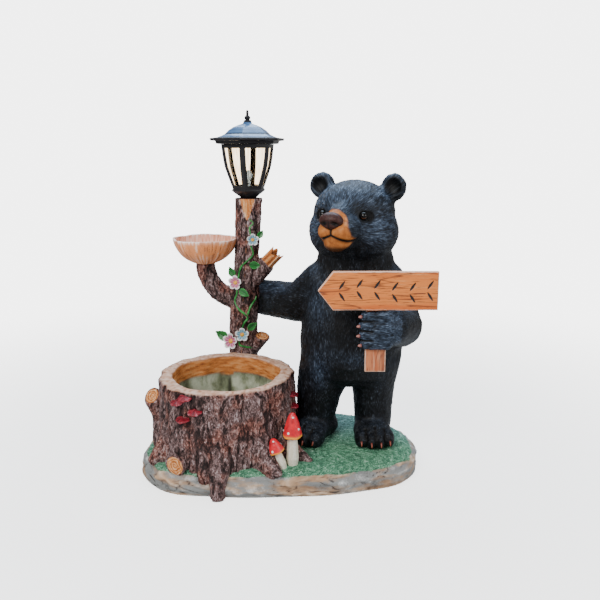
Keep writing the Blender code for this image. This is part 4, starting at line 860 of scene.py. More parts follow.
masses.append(wrapped("bear_torso", 96, 90, torso_skin))
ball((-0.4, 10.4, 16.5), (2.6, 2.2, 2.8))
limb([(5.3, -0.4, 20.0), (5.1, 0.4, 16.0), (5.3, 0.8, 11.5), (5.4, 1.0, 4.0)], [6.1, 5.6, 4.8, 4.35])
limb([(-5.4, -0.2, 20.0), (-6.1, 0.6, 16.0), (-7.3, 1.1, 11.5), (-8.1, 1.6, 4.0)], [6.3, 6.1, 5.3, 4.5])
feet = []
for x, y, turn in ((5.0, -2.2, 2.0), (-9.0, -1.4, -28.0)):
    foot = Matrix.Translation((x, y, 0)) @ Matrix.Rotation(math.radians(turn), 4, "Z")
    feet.append(foot)
    ball((0, 0, 2.4), (4.35, 5.6, 3.2), foot)
    ball((0.4, 3.8, 2.4), (4.2, 3.8, 3.2), foot)
    for across, front in TOES:
        ball((across, front, 1.9), (1.3, 2.8, 2.1), foot)
limb([(-6.2, 1.5, 36.4), (-12.0, 5.6, 31.0), (-20.3, 15.6, 29.9), (-24.2, 20.6, 29.8)], [5.4, 4.6, 4.45, 4.2])
limb([(6.4, 0.8, 36.6), ELBOW, (7.0, -11.9, 29.9)], [5.6, 4.9, 4.2])
ball(WRIST, (4.1, 3.2, 4.2))
ball((4.1, -13.7, 30.0), (2.6, 2.95, 4.1))
for tip, height in FINGERS:
    limb([(6.0, -15.1, height), (tip, -15.3, height)], [1.25, 1.05])
    limb([(-24.0, 22.6, height), (-28.0, 20.6, height)], [1.25, 1.05])
ball((0, 0.3, 1.0), (9.0, 8.7, 7.3), head_place)
ball((0, -0.1, -2.8), (10.0, 8.9, 7.6), head_place)
limb([(0, -5.4, 2.0), (-0.4, -11.2, 0.2)], [3.1, 2.0], head_place)
ball((0.25, -8.6, -1.8), (4.35, 5.0, 3.8), head_place)
ball((0.05, -9.2, -4.4), (3.3, 3.8, 1.9), head_place)
ball((-1.85, -10.8, -1.75), (2.15, 2.8, 2.15), head_place)
ball((1.5, -10.9, -1.7), (2.7, 3.0, 2.3), head_place)
for side in (-1, 1):
    ball((8.2 * side, 2.2, 6.7), (3.0, 1.6, 3.1), head_place, (0, EAR_SLANT * side, -10 * side))

bear = joined(masses, masses[1])
bear.name = "bear_casting"
bear.data.name = "bear_casting"
settle(bear)
skin = bear.modifiers.new("Skin", "REMESH")
skin.mode = "VOXEL"
skin.voxel_size = VOXEL
soften = bear.modifiers.new("Soften", "SMOOTH")
soften.factor = 0.5
soften.iterations = 4
for step in ("Skin", "Soften"):
    bpy.ops.object.modifier_apply(modifier=step)
bpy.ops.object.shade_smooth()


def in_frame(points, matrix):
    """Points in the bear's own units, within one of its frames."""
    return moved(points, (bear_place @ matrix).inverted())


def in_fist(body):
    return (body[:, 1] < -12.5) & (body[:, 2] > 24.5) & (body[:, 2] < 35.5)


def in_toes(toe):
    return (np.abs(toe[:, 0]) < 4.6) & (toe[:, 1] < -3.6) & (toe[:, 1] > -8.5) & (toe[:, 2] < 5)


# The face, the fist and the toes are cut finer so that the mouth line, the lids and the gaps stay sharp
for reach in (FACE_FRONT, FACE_FRONT - 2.0):
    centres = rows_of(bear.data.polygons, "center")
    head = in_frame(centres, head_place)
    near = (head[:, 1] < FACE_FRONT) & (np.abs(head[:, 0]) < 6.6) & (head[:, 2] > -7.5) & (head[:, 2] < 4.0)
    near &= head[:, 1] < reach + 1.4 * (np.abs(head[:, 0]) > 3)
    if reach == FACE_FRONT:
        body = in_frame(centres, body_place)
        near |= (body[:, 0] < 5) & in_fist(body)
        for foot in feet:
            near |= in_toes(in_frame(centres, foot))
    bear.data.polygons.foreach_set("select", near)
    bpy.ops.object.mode_set(mode="EDIT")
    bpy.ops.mesh.select_mode(type="FACE")
    close_mesh()
    bear.data.polygons.foreach_set("select", near)
    bpy.ops.object.mode_set(mode="EDIT")
    bpy.ops.mesh.subdivide(number_cuts=1, smoothness=0.6)
    close_mesh()

points = places_of(bear)
head = in_frame(points, head_place)
body = in_frame(points, body_place)
is_head = body[:, 2] > HEAD_FROM
lids, sockets, ears, ear_rim_highlights = np.zeros((4, len(head)))
for side in (-1, 1):
    offset = (head - (8.35 * side, 0.3, 6.9)) / (2.0, 1.5, 2.1)
    spread = offset[:, 0] ** 2 + offset[:, 2] ** 2
    cup = 0.3 + 1.5 * np.sqrt(np.clip(1 - spread, 0, 1))
    front = (spread < 1) & (head[:, 1] < 1.9)
    head[:, 1] = np.where(front, np.maximum(head[:, 1], cup), head[:, 1])
    ears = np.maximum(ears, 0.85 * (1 - between(0.30, 1.0, spread)) * (head[:, 1] < 2.4))
    band = (between(0.8, 1.1, spread) * (1 - between(1.7, 2.4, spread))
            * (head[:, 2] > 5.0) * (head[:, 1] < 2.4))
    ear_rim_highlights = np.maximum(ear_rim_highlights, band)
for eye in EYE_PLACES:
    corner = np.array((math.copysign(1.25, eye[0]), 0.55, -0.15))
    stretched = head - eye - np.outer(np.clip((head - eye) @ corner / (corner @ corner), 0, 0.75), corner)
    far = np.linalg.norm(stretched, axis=1)
    lids = np.maximum(lids, hump(far - 1.12, 0.22) * is_head)
    sockets = np.maximum(sockets, (1 - between(0.85, 1.75, far)) * is_head)
points = np.where(is_head[:, None], moved(head, bear_place @ head_place), points)
put_places(bear, points)
normals = rows_of(bear.data.vertices, "normal")
body = in_frame(points, body_place)

# The mouth's line and the muzzle's edge are drawn round the nose, and gaps are pressed in the paws
face_x = head[:, 0] + 0.4
swing = np.arctan2(face_x, -(head[:, 1] + 8.5))
share = np.clip(np.abs(swing) / MOUTH_TURN, 0, 1)
mouth_height = (-2.30 - 1.25 * np.sin(math.pi / 2 * np.clip(share / 0.62, 0, 1))
                + 0.35 * between(0.62, 1.0, share))
on_muzzle = is_head & (head[:, 1] < -7.6)
mouth = (hump(head[:, 2] - mouth_height, 0.31) * on_muzzle
         * (1 - between(0.97, 1.02, np.abs(swing) / MOUTH_TURN)))
lip_cleft = hump(face_x, 0.27) * ((head[:, 2] < -0.6) & (head[:, 2] > -2.5) & on_muzzle)
line = np.maximum(mouth, lip_cleft)
ragged = 0.10 * uneven(points, 0.008, 71)
right_edge = linear(MUZZLE_EDGE, 1, head[:, 2])
past = np.where(face_x > 0, face_x - right_edge, -face_x - 1.1 * right_edge) + ragged
muzzle = (1 - between(-0.30, 0.25, past)) * (1 - between(-8.6, -7.4, head[:, 1] + 2 * ragged)) * is_head
past_top = head[:, 2] - (2.75 - 0.22 * (head[:, 0] + 0.5) ** 2) - ragged
muzzle *= between(-6.1, -5.7, head[:, 2]) * (1 - between(-0.15, 0.15, past_top))
fist = in_fist(body)
for tip, height in FINGERS[:-1]:
    reach = fist * (body[:, 0] > -1.5) * between(3.9, 2.6, body[:, 0])
    line = np.maximum(line, hump(body[:, 2] - (height - FINGER_PITCH / 2), 0.24) * reach)
for foot in feet:
    toe = in_frame(points, foot)
    for gap in (-TOE_PITCH, 0.0, TOE_PITCH):
        line = np.maximum(line, hump(toe[:, 0] - gap, 0.28) * in_toes(toe))


def mixed(under, top, share):
    """Directions turned from one way to another by a share."""
    return under * (1 - share)[:, None] + top * share[:, None]


# Fur runs down the body and legs, along the arms, and back from the nose over the head
sway = shaken(points, 0.045, 73, 74)
tree_arm = between(-9.0, -12.0, body[:, 0]) * between(24, 26, body[:, 2])
to_wrist = np.subtract(WRIST, ELBOW)
along = np.clip((body - ELBOW) @ to_wrist / (to_wrist @ to_wrist), 0.15, 1)
fore_arm = between(5.15, 4.75, np.linalg.norm(body - ELBOW - np.outer(along, to_wrist), axis=1))
on_head = between(44.0, 47.0, body[:, 2])
back_from_nose = (head - (0, -12.0, -1.0)) @ np.array(bear_place @ head_place)[:3, :3].T / BEAR_UNIT / 12
flow = mixed(sway * 0.8 + (0, 0, -1), np.array((-0.62, 0.72, -0.25)) + 0.4 * sway, tree_arm)
flow = mixed(flow, np.array((-0.75, -0.55, 0.1)) + 0.4 * sway, fore_arm)
flow = mixed(flow, back_from_nose + 0.8 * sway + (0, 0, -0.35), on_head)
flow -= normals * np.sum(flow * normals, axis=1)[:, None]
flow /= np.linalg.norm(flow, axis=1)[:, None] + 1e-6


def combed(size, reach, seed):
    """Noise drawn out along the fur's flow."""
    total = sum(uneven(points + flow * (reach * k / 5), size, seed) for k in range(-5, 6))
    return np.tanh(0.9 * total / total.std())


def pressed(places, direction, share=0.22):
    """Places pressed together along a direction, so that a pattern read there is drawn out along it."""
    direction = np.array(direction) / np.linalg.norm(direction)
    return places - (1 - share) * np.outer(places @ direction, direction)


lean = 0.005 * shaken(points, 0.04, 77, 78)
comb = pressed(points + lean, (0, 0.05, 1))
for there, direction in (
    (body[:, 2] < 5.2, (0.1, -1, 0.25)), (tree_arm > 0.5, (-0.62, 0.72, -0.10)),
    (fore_arm > 0.5, (-0.36, -0.91, 0.22)), (fist & (body[:, 0] < 7.5), (1, 0.1, 0)),
):
    comb = np.where(there[:, None], pressed(points + lean, direction), comb)
round_nose = np.arctan2(head[:, 2] + 1.0, head[:, 0])
from_nose = np.arctan2(np.hypot(head[:, 0], head[:, 2] + 1.0), -head[:, 1])
polar = 0.08 * ring(round_nose) + np.outer(from_nose, (0, 0, 0.020))
comb = np.where((on_head > 0.5)[:, None], polar + 0.6 * lean, comb)
fur = 0.70 * combed(0.0046, 0.0060, 75) + 0.30 * combed(0.012, 0.012, 76)
fur *= 1 - 0.85 * np.clip(muzzle + sockets, 0, 1)
points += normals * (0.00085 * fur + 0.0016 * lids - 0.0016 * line - 0.0004 * sockets)[:, None]

# The left arm goes behind the trunk: what would stand before the bark is tucked under it
off_trunk = points - trunk_middle(points[:, 2])
girth = trunk_girth(points[:, 2])
behind_bark = TUCK - girth * np.sqrt(np.clip(1 - (off_trunk[:, 0] / girth) ** 2, 0, 1))
beside = np.clip((off_trunk[:, 0] - girth) / TUCK_REACH, 0, 1)
deepest = np.where(off_trunk[:, 0] > girth, TUCK - 0.050 * np.sqrt(beside), behind_bark)
at_trunk = (np.abs(off_trunk[:, 0]) < girth + TUCK_REACH) & (points[:, 2] > 0.26) & (points[:, 2] < 0.42)
points[:, 1] += np.where(at_trunk, np.maximum(deepest - off_trunk[:, 1], 0), 0)
put_places(bear, points)

# Painted highlight: a paler blue-grey sheen on the upward faces, the brow, the cheeks, the fist, the ear rims
# and patches on the thigh, chest and belly, faint near the feet and kept out of the ears.
brow = hump(head[:, 2] - 5.2, 3.2) * hump(head[:, 0] + 1.5, 6.5) * is_head * (head[:, 1] < 2)
cheek = hump(head[:, 2] + 1.5, 3.5) * hump(np.abs(head[:, 0]) - 7.2, 2.6) * is_head
sheen = 0.50 * between(0.05, 0.95, normals[:, 2]) + 0.70 * brow + 0.95 * cheek
sheen += 0.68 * fist * (body[:, 0] < 9) + 0.30 * ear_rim_highlights
for weight, x, half_width, z, half_height in (
    (0.75, -7.8, 1.7, 18.0, 4.0), (0.5, -8.0, 2.2, 33.0, 4.0), (0.35, 0.5, 5.0, 21.5, 1.6),
):
    sheen += weight * hump(body[:, 0] - x, half_width) * hump(body[:, 2] - z, half_height) * (body[:, 1] < 0)
sheen *= 1 - 0.75 * (1 - between(5.0, 7.5, body[:, 2]))
sheen = np.clip(sheen + 0.12 * uneven(points, 0.03, 79), 0, 1) * (1 - ears)
# Painted shade: the socket mask darkens the coat to near black round the eyes and in the ear hollows.
for name, values in (
    ("relief", 0.46 + 0.15 * fur + 0.06 * lids), ("sheen", sheen), ("muzzle", muzzle),
    ("line", np.clip(1.25 * line, 0, 1)), ("shade", between(-3.9, -5.3, head[:, 2]) * is_head),
    ("socket", np.clip(np.maximum(sockets * 1.1, 0.6 * ears), 0, 1) * is_head),
):
    store(bear, name, values)
kept = bear.data.attributes.new("comb", "FLOAT_VECTOR", "POINT")
kept.data.foreach_set("vector", comb.astype(np.float32).ravel())

paint = Paint("bear coat paint")
comb_place = paint.kept("comb", "Vector")
hair = paint.noise(0.0021, 2.0, place=comb_place)
tufts = paint.noise(0.0060, 2.0, place=comb_place)
height = paint.stirred(paint.stirred(paint.kept("relief"), hair, 1.9), tufts, 0.5)
coat = paint.bands(height, (0.15, (0.0010, 0.0011, 0.0014)), (0.52, (0.0034, 0.0040, 0.0052)),
                   (0.76, (0.0135, 0.016, 0.021)), (1.0, (0.058, 0.069, 0.088)))
# Painted highlight: the paler blue-grey laid over the coat where the sheen is kept.
painted_sheen_tone = paint.bands(height, (0.10, (0.004, 0.006, 0.010)), (0.42, (0.023, 0.034, 0.055)),
                       (0.68, (0.062, 0.090, 0.140)), (0.98, (0.165, 0.215, 0.30)))
tan = paint.blotched(0.012, 4.0, (0.28, (0.22, 0.062, 0.012)), (0.5, (0.40, 0.130, 0.028)),
                     (0.74, (0.52, 0.20, 0.055)))
tan = paint.over(tan, (0.030, 0.012, 0.006), paint.maths("MULTIPLY", paint.kept("shade"), 0.85))
# Over the coat go the painted highlight of the sheen, the tan muzzle, the painted shade of the sockets and
# the black lines.
for layer, part in (
    (painted_sheen_tone, "sheen"), (tan, "muzzle"),
    ((0.0015, 0.0015, 0.0018), "socket"), ((0.0015, 0.0012, 0.0012), "line"),
):
    coat = paint.over(coat, layer, paint.kept(part))
bare = paint.maths("SUBTRACT", 1.0, paint.maths("MULTIPLY", paint.kept("muzzle"), 0.85))
fuzz = paint.maths("MULTIPLY", paint.maths("MULTIPLY_ADD", tufts, 0.8, hair), bare)
paint.coat(coat, fuzz, 0.0018, (0.38, 0.62), hair, 0.17)
finish_piece(bear, paint, "bear_coat", "bear")

# Nose, eyes and claws
# They are painted on the casting with gloss: a brown-black nose with two nostrils, dark eyes with a brown
# lower edge, red-brown toe claws and pinker claws on the paw that holds the stake.


def head_round(name, segments, rings):
    """A round of radius 1 for the head, and its places."""
    piece = new_piece(name, bpy.ops.mesh.primitive_uv_sphere_add,
                      segments=segments, ring_count=rings, radius=1)
    return piece, places_of(piece)


def set_on_head(piece, local, centre, radii):
    placed = bear_place @ head_place @ Matrix.Translation(centre) @ Matrix.Diagonal(radii).to_4x4()
    put_places(piece, moved(local, placed))
    bpy.ops.object.shade_smooth()


nose, local = head_round("bear_nose", 96, 64)
nostril = np.zeros(len(local))
for side in (-1, 1):
    off = (local - (0.46 * side, -0.85, -0.26)) / (0.29, 1.0, 0.25)
    nostril = np.maximum(nostril, hump(off[:, 0] + 0.35 * side * off[:, 2], 1) * hump(off[:, 2], 1))
nostril *= local[:, 1] < -0.2
cleft = hump(local[:, 0], 0.05) * ((local[:, 2] < 0.05) & (local[:, 1] < 0))
shaped = local.copy()
shaped[:, 0] *= 1 - 0.30 * np.clip(-local[:, 2], 0, 1) ** 2
shaped[:, 1] += 0.42 * nostril + 0.06 * cleft
set_on_head(nose, shaped + 0.012 * shaken(local, 0.16, 81, 82, 83), (-0.5, -12.95, 0.6), (2.55, 1.75, 1.78))
store(nose, "line", np.clip(1.3 * nostril + cleft, 0, 1))

paint = Paint("nose gloss")
tone = paint.blotched(0.004, 3.0, (0.3, (0.022, 0.007, 0.006)), (0.7, (0.060, 0.019, 0.015)))
tone = paint.over(tone, (0.0025, 0.0015, 0.0015), paint.kept("line"))
paint.coat(tone, paint.noise(0.0018, 2.0), 0.0005, (0.38, 0.56), paint.noise(0.006), 0.25)
finish_piece(nose, paint, "bear_coat")

paint = Paint("eye gloss")
tone = paint.bands(paint.kept("iris"), (0.40, (0.0015, 0.0012, 0.0012)), (0.66, (0.040, 0.014, 0.006)),
                   (0.90, (0.105, 0.040, 0.017)))
paint.shade(Base_Color=tone, Roughness=0.13, Specular_IOR_Level=0.30)
for name, centre, side in zip(("bear_eye_left", "bear_eye_right"), EYE_PLACES, (-1, 1)):
    eye, local = head_round(name, 48, 32)
    gaze = np.array((0.38 * side, -0.92, 0.05))
    gaze /= np.linalg.norm(gaze)
    off_axis = np.arccos(np.clip(local @ gaze, -1, 1))
    cornea = 0.07 * hump(off_axis, 0.55) + 0.01 * uneven(local, 0.5, 84)
    set_on_head(eye, local * (1 + cornea)[:, None], centre, (0.92, 0.90, 0.88))
    store(eye, "iris", hump(off_axis - 0.62, 0.20) * between(0.25, -0.55, local[:, 2]))
    finish_piece(eye, paint, "bear_coat")


def claw(name, root, tip, radius, bend):
    """A small horn claw: a cone drawn out and bent."""
    piece = new_piece(name, bpy.ops.mesh.primitive_cylinder_add, vertices=14, radius=1, depth=1,
                      end_fill_type="TRIFAN")
    open_mesh()
    bpy.ops.mesh.subdivide(number_cuts=4)
    close_mesh()
    local = places_of(piece)
    rise = local[:, 2] + 0.5
    slim = radius * (np.sqrt(np.clip(1 - rise**1.6, 0.0, 1)) * 0.97 + 0.03)
    out = tip - root
    across = out.cross(Vector(bend)).normalized()
    other = across.cross(out).normalized()
    places = np.array(root) + np.outer(rise, out) + np.outer(np.sin(rise * math.pi) * out.length * 0.16, bend)
    put_places(piece, places + np.outer(local[:, 0] * slim, across) + np.outer(local[:, 1] * slim, other))
    store(piece, "relief", rise)
    bpy.ops.object.shade_smooth()
    return piece


def claw_paint(name, root, tip):
    paint = Paint(name)
    tone = paint.bands(paint.kept("relief"), (0.05, root), (0.9, tip))
    tone = paint.over(tone, root, paint.blotched(0.002, 2.0, (0.4, 0), (0.7, 0.5)))
    paint.coat(tone, paint.noise(0.001, 2.0), 0.0002, (0.28, 0.45), paint.noise(0.003))
    return paint


toe_claw_paint = claw_paint("toe claw paint", (0.12, 0.022, 0.015), (0.42, 0.10, 0.055))
paw_claw_paint = claw_paint("paw claw paint", (0.20, 0.060, 0.050), (0.52, 0.24, 0.20))
for number, foot in enumerate(feet, 1):
    for toe, (across, front) in enumerate(TOES, 1):
        root = bear_place @ foot @ Vector((across, front - 2.45, 2.2))
        tip = bear_place @ foot @ Vector((across, front - 3.10, 1.15))
        piece = claw(f"bear_toe_claw_{number}{toe}", root, tip, 0.0021, (0, -1, 0.4))
        finish_piece(piece, toe_claw_paint, "bear_coat")
for number, (tip_x, height) in enumerate(FINGERS, 1):
    root = bear_place @ Vector((tip_x - 0.65, -15.7, height))
    tip = bear_place @ Vector((tip_x - 1.45, -15.75, height - 0.1))
    piece = claw(f"bear_paw_claw_{number}", root, tip, 0.0036, (0, -1, 0.2))
    finish_piece(piece, paw_claw_paint, "bear_coat")

# Arrow board and stake
# A board sawn to a point at its left end, painted like pine with dark grain and rubbed edges, with a row of
# shallow slanting strokes cut in and filled black. A square stake of paler wood runs down through the paw.

BOARD_LEFT = 0.081
BOARD_LENGTH = 0.240
BOARD_LOW = 0.3975
BOARD_HEIGHT = 0.078
BOARD_TIP = 0.030
BOARD_BACK = -0.153
BOARD_THICKNESS = 0.014
BOARD_LAYERS = 4
STAKE_X = 0.200
STAKE_WIDTH = 0.042
STAKE_LOW = 0.263
STAKE_HIGH = BOARD_LOW + 0.8 * BOARD_HEIGHT
STAKE_THICKNESS = 0.013
STROKE_START = BOARD_LEFT + BOARD_TIP + 0.154 * BOARD_HEIGHT
STROKE_PITCH = (BOARD_LENGTH - BOARD_TIP - 0.436 * BOARD_HEIGHT) / 5
STROKE_LENGTH = 0.26 * BOARD_HEIGHT
STROKE_HALF_WIDTH = 0.0333 * BOARD_HEIGHT
STROKE_DEPTH = 0.0012


def stroke_depths(x, z):
    """How far into the strokes a point of the board's face is, from 0 to 1."""
    deepest = np.zeros_like(x)
    for i in range(6):
        for side in (-1, 1):
            foot_z = BOARD_LOW + BOARD_HEIGHT / 2 + 0.045 * BOARD_HEIGHT * (math.sin(1.3 * i) + side)
            lean = Vector((0.55, 0.83 * side)).normalized()
            off_x = x - STROKE_START - STROKE_PITCH * i
            off_z = z - foot_z
            along = off_x * lean.x + off_z * lean.y
            share = np.clip(along / STROKE_LENGTH, 0, 1)
            belly = np.where(share < 0.45, share / 0.45, (1 - share) / 0.55)
            half_width = STROKE_HALF_WIDTH * np.sqrt(np.clip(belly, 0, 1))
            inside = between(0.0006, -0.0002, np.abs(off_x * lean.y - off_z * lean.x) - half_width)
            deepest = np.maximum(deepest, np.where((along > 0) & (share < 1), inside, 0))
    return deepest


def cut_up_cube(name, columns, rows):
    """A cube cut fine along its length and height and into layers through its thickness, standing on z 0."""
    piece = new_piece(name, bpy.ops.mesh.primitive_grid_add,
                      x_subdivisions=columns, y_subdivisions=rows, size=1)
    open_mesh()
    for layer in range(BOARD_LAYERS):
        bpy.ops.mesh.extrude_region_move(TRANSFORM_OT_translate={"value": (0, 0, 1 / BOARD_LAYERS)})
    bpy.ops.mesh.select_all(action="SELECT")
    bpy.ops.mesh.remove_doubles(threshold=0.00001)
    bpy.ops.mesh.normals_make_consistent(inside=True)
    close_mesh()
    return piece


def sawn_wood(piece, left, right, low, high, front, back, tip, stretch, seed):
    """A cut-up cube's places as a worn board, its front-to-back share, grain, cracks and rubbed edges."""
    u, v, w = (places_of(piece) + (0.5, 0.5, 0)).T
    x_left = left + tip * np.abs(2 * v - 1)
    x = x_left + (right - x_left) * u
    z = low + (high - low) * v
    y = front + (back - front) * w
    edge = np.minimum.reduce([(x - x_left) * 0.9, right - x, z - low, high - z])
    level = np.column_stack([x, y, z])
    wear = 0.0011 + 0.0007 * uneven(level, 0.018, seed)
    facing_way = (w < 0.01) * 1.0 - (w > 0.99)
    y = y + facing_way * wear * (1 - np.clip(edge / 0.0024, 0, 1)) ** 2
    bent = (level + np.outer(uneven(level * stretch, 0.02, seed + 1), (0, 0, 0.004))) * stretch
    grain = uneven(bent, 0.0040, seed + 2) + 0.6 * uneven(bent, 0.0019, seed + 3)
    crack = hump(uneven(bent, 0.012, seed + 4), 0.045) * between(0.1, 0.5, uneven(level, 0.035, seed + 5))
    rim = 1 - between(0.0004, 0.0018, edge + 0.0006 * uneven(level, 0.006, seed + 6))
    return x, y, z, w, facing_way, grain, crack, rim


def set_wood(piece, x, y, z, relief, rubbed, line):
    put_places(piece, np.column_stack([x, y, z]))
    for name, values in (("relief", relief), ("rubbed", rubbed), ("line", line)):
        store(piece, name, values)
    bpy.ops.object.shade_smooth_by_angle(angle=math.radians(35))


board = cut_up_cube("arrow_board", 260, 84)
x, y, z, w, facing_way, grain, crack, rim = sawn_wood(
    board, BOARD_LEFT, BOARD_LEFT + BOARD_LENGTH, BOARD_LOW, BOARD_LOW + BOARD_HEIGHT,
    BOARD_BACK - BOARD_THICKNESS, BOARD_BACK, BOARD_TIP, (0.07, 1, 1), 91)
strokes = stroke_depths(x, z) * (w < 0.01)
y += facing_way * (0.00018 - 0.00016 * grain + 0.0007 * crack) + strokes * STROKE_DEPTH
sides = 0.8 * (np.abs(w - 0.5) < 0.49)
set_wood(board, x, y, z, 0.55 + 0.20 * grain - 0.75 * crack, np.maximum(rim, sides), strokes)

stake = cut_up_cube("board_stake", 40, 150)
x, y, z, w, facing_way, grain, crack, rim = sawn_wood(
    stake, STAKE_X - STAKE_WIDTH / 2, STAKE_X + STAKE_WIDTH / 2, STAKE_LOW, STAKE_HIGH,
    BOARD_BACK, BOARD_BACK + STAKE_THICKNESS, 0, (1, 1, 0.07), 101)
y += facing_way * (0.0001 - 0.00022 * grain + 0.0006 * crack)
set_wood(stake, x, y, z, 0.55 + 0.22 * grain - 0.6 * crack, rim, 0 * x)


def plank_paint(name, dark, ground, pale, rubbed, stretch):
    paint = Paint(name)
    figure = paint.noise(0.006, 4.0, stretch)
    height = paint.stirred(paint.kept("relief"), figure, 0.9)
    warm = tuple(part * share for part, share in zip(ground, (0.82, 0.62, 0.50)))
    wood = paint.bands(paint.noise(0.030, 3.0, stretch), (0.42, warm), (0.58, ground))
    tones = paint.bands(height, (0.30, dark), (0.70, pale))
    wood = paint.over(wood, tones, paint.bands(height, (0.05, 1), (0.36, 0), (0.66, 0), (0.95, 1)))
    year_lines = paint.bands(paint.noise(0.022, 2.0, stretch), (0.455, 0), (0.470, 0.85), (0.485, 0),
                             (0.550, 0), (0.570, 0.85), (0.592, 0))
    wood = paint.over(wood, dark, year_lines)
    wood = paint.over(wood, dark, paint.bands(paint.noise(0.0022, 3.0, stretch), (0.30, 0.85), (0.42, 0)))
    wood = paint.over(wood, rubbed, paint.maths("MULTIPLY", paint.kept("rubbed"), 0.80))
    wood = paint.over(wood, (0.006, 0.005, 0.005), paint.kept("line"))
    paint.coat(wood, figure, 0.0003, (0.38, 0.62), figure)
    return paint


board_paint = plank_paint("board paint", (0.13, 0.028, 0.008), (0.71, 0.205, 0.038), (0.82, 0.40, 0.15),
                          (0.84, 0.56, 0.42), (0.09, 1, 1))
stake_paint = plank_paint("stake paint", (0.17, 0.046, 0.020), (0.50, 0.165, 0.065), (0.74, 0.42, 0.26),
                          (0.84, 0.60, 0.46), (1, 1, 0.10))
finish_piece(board, board_paint, "sign_wood", "arrow_sign")
finish_piece(stake, stake_paint, "sign_wood", "arrow_sign")

# Toadstools
# Two cast toadstools by the stump's right root: fat ribbed cream stems, and pointed red caps with a yellow
# under-edge and a few raised white dots.

TOADSTOOLS = [
    ("toadstool_tall", 0.120, 0.0205, (0.029, -0.145), 0, (1, 2, 3, 4, 5, 6)),
    ("toadstool_short", 0.070, 0.0165, (0.008, -0.158), -18, (1, 3, 4, 6)),
]
DOTS = [
    (-118, 0.66, 1.0), (-38, 0.72, 0.9), (-80, 0.93, 0.75), (35, 0.70, 1.0), (120, 0.76, 0.9),
    (180, 0.66, 0.8),
]
DOT_RADIUS = 0.0027
DOT_RISE = 0.0012
CAP_LINE = np.array([(0.585, 1.0), (0.70, 0.85), (0.82, 0.65), (0.92, 0.46), (1.0, 0.1)])


def toadstool_skin(height, cap, foot, tilt):
    stem = 0.66 * cap
    profile = np.array([
        (0.0, 0.0, -0.008), (0.03, 0.75 * stem, -0.008), (0.20, stem, 0.14 * height),
        (0.40, 0.80 * stem, 0.45 * height), (0.48, 0.70 * stem, 0.53 * height),
        (0.50, 0.72 * stem, 0.550 * height), (0.54, 0.93 * cap, 0.545 * height),
        (0.57, cap, 0.568 * height), (0.60, cap * 0.98, 0.60 * height),
        (0.70, cap * 0.85, 0.70 * height), (0.81, cap * 0.65, 0.82 * height),
        (0.90, cap * 0.46, 0.92 * height), (0.95, cap * 0.28, 0.975 * height), (1.0, 0.0, 0.999 * height),
    ])

    def skin(turn, rise):
        angle = math.tau * turn
        level = linear(profile, 2, rise)
        ribs = uneven(ring(angle) * 0.012, 0.0042, 111) * between(0.52, 0.45, rise)
        wave = 0.5 * np.sin(5 * angle + 1) * hump(rise - 0.57, 0.05)
        radius = linear(profile, 1, rise) * (1 + 0.05 * ribs + 0.03 * wave)
        radius += 0.0003 * uneven(ring(angle) * 0.02 + level[:, None], 0.004, 112)
        radius = np.maximum(radius, 0) * np.clip((1 - rise) / 0.02, 0, 1)
        places = ring(angle) * radius[:, None] + np.outer(level - 0.0014 * wave, (0, 0, 1))
        numbers = {"cap": between(0.505, 0.53, rise), "edge": hump(rise - 0.570, 0.026)}
        return places @ np.array(tilt).T + foot, {**numbers, "relief": 0.5 + 0.45 * ribs}

    return skin


def dot_piece(name, spot, normal, size):
    """A raised dot on a cap: a flattened round with an uneven edge."""
    dot = new_piece(name, bpy.ops.mesh.primitive_uv_sphere_add, segments=20, ring_count=12, radius=1)
    turn = normal.to_track_quat("Z", "Y").to_matrix().to_4x4()
    size = Matrix.Diagonal((DOT_RADIUS * size, DOT_RADIUS * size, DOT_RISE, 1))
    dot.matrix_world = Matrix.Translation(spot) @ turn @ size
    settle(dot)
    blob = places_of(dot)
    middle = blob.mean(axis=0)
    lumps = 1 + 0.12 * uneven(blob, 0.0028, 113) + 0.06 * uneven(blob, 0.0012, 114)
    put_places(dot, middle + (blob - middle) * lumps[:, None])
    bpy.ops.object.shade_smooth()
    return dot


toadstool_paint = Paint("toadstool paint")
stem, speckle = toadstool_paint.brushed((0.22, 0.16, 0.10), (0.66, 0.60, 0.46), (0.88, 0.85, 0.77), 0.004)
red = toadstool_paint.blotched(0.010, 3.0, (0.3, (0.42, 0.005, 0.014)), (0.6, (0.74, 0.012, 0.024)),
                               (0.85, (0.80, 0.050, 0.055)))
red = toadstool_paint.over(red, (0.92, 0.40, 0.04), toadstool_paint.kept("edge"))
red = toadstool_paint.over(stem, red, toadstool_paint.kept("cap"))
toadstool_paint.coat(red, toadstool_paint.noise(0.002, 2.0), 0.0003, (0.25, 0.5), speckle)
dot_paint = Paint("white dot paint")
white = dot_paint.blotched(0.003, 2.0, (0.3, (0.62, 0.60, 0.55)), (0.6, (0.86, 0.86, 0.84)))
dot_paint.coat(white, dot_paint.noise(0.001, 2.0), 0.0002, (0.35, 0.5), dot_paint.noise(0.004))

for name, height, cap, (x, y), lean, dot_numbers in TOADSTOOLS:
    foot = np.array((x, y, TURF_HEIGHT - 0.002))
    tilt = Matrix.Rotation(math.radians(lean), 3, "Y")
    piece = wrapped(f"{name}_casting", 64, 70, toadstool_skin(height, cap, foot, tilt))
    finish_piece(piece, toadstool_paint, "toadstool_paint", name)
    for number in dot_numbers:
        degrees, share, size = DOTS[number - 1]
        angle = math.radians(degrees)
        level = linear(CAP_LINE, 1, share) * cap
        spot = Vector((level * math.cos(angle), level * math.sin(angle), share * height))
        normal = Vector((math.cos(angle), math.sin(angle), 0.35)).normalized()
        dot = dot_piece(f"{name}_casting_dot_{number}", tilt @ spot + Vector(foot), tilt @ normal, size)
        finish_piece(dot, dot_paint, "toadstool_paint")

# Bracket fungi
# Six small shelves grow from the bark, four at the left and two at the right: crimson, with pale brush marks
# that run out to a wavy edge.

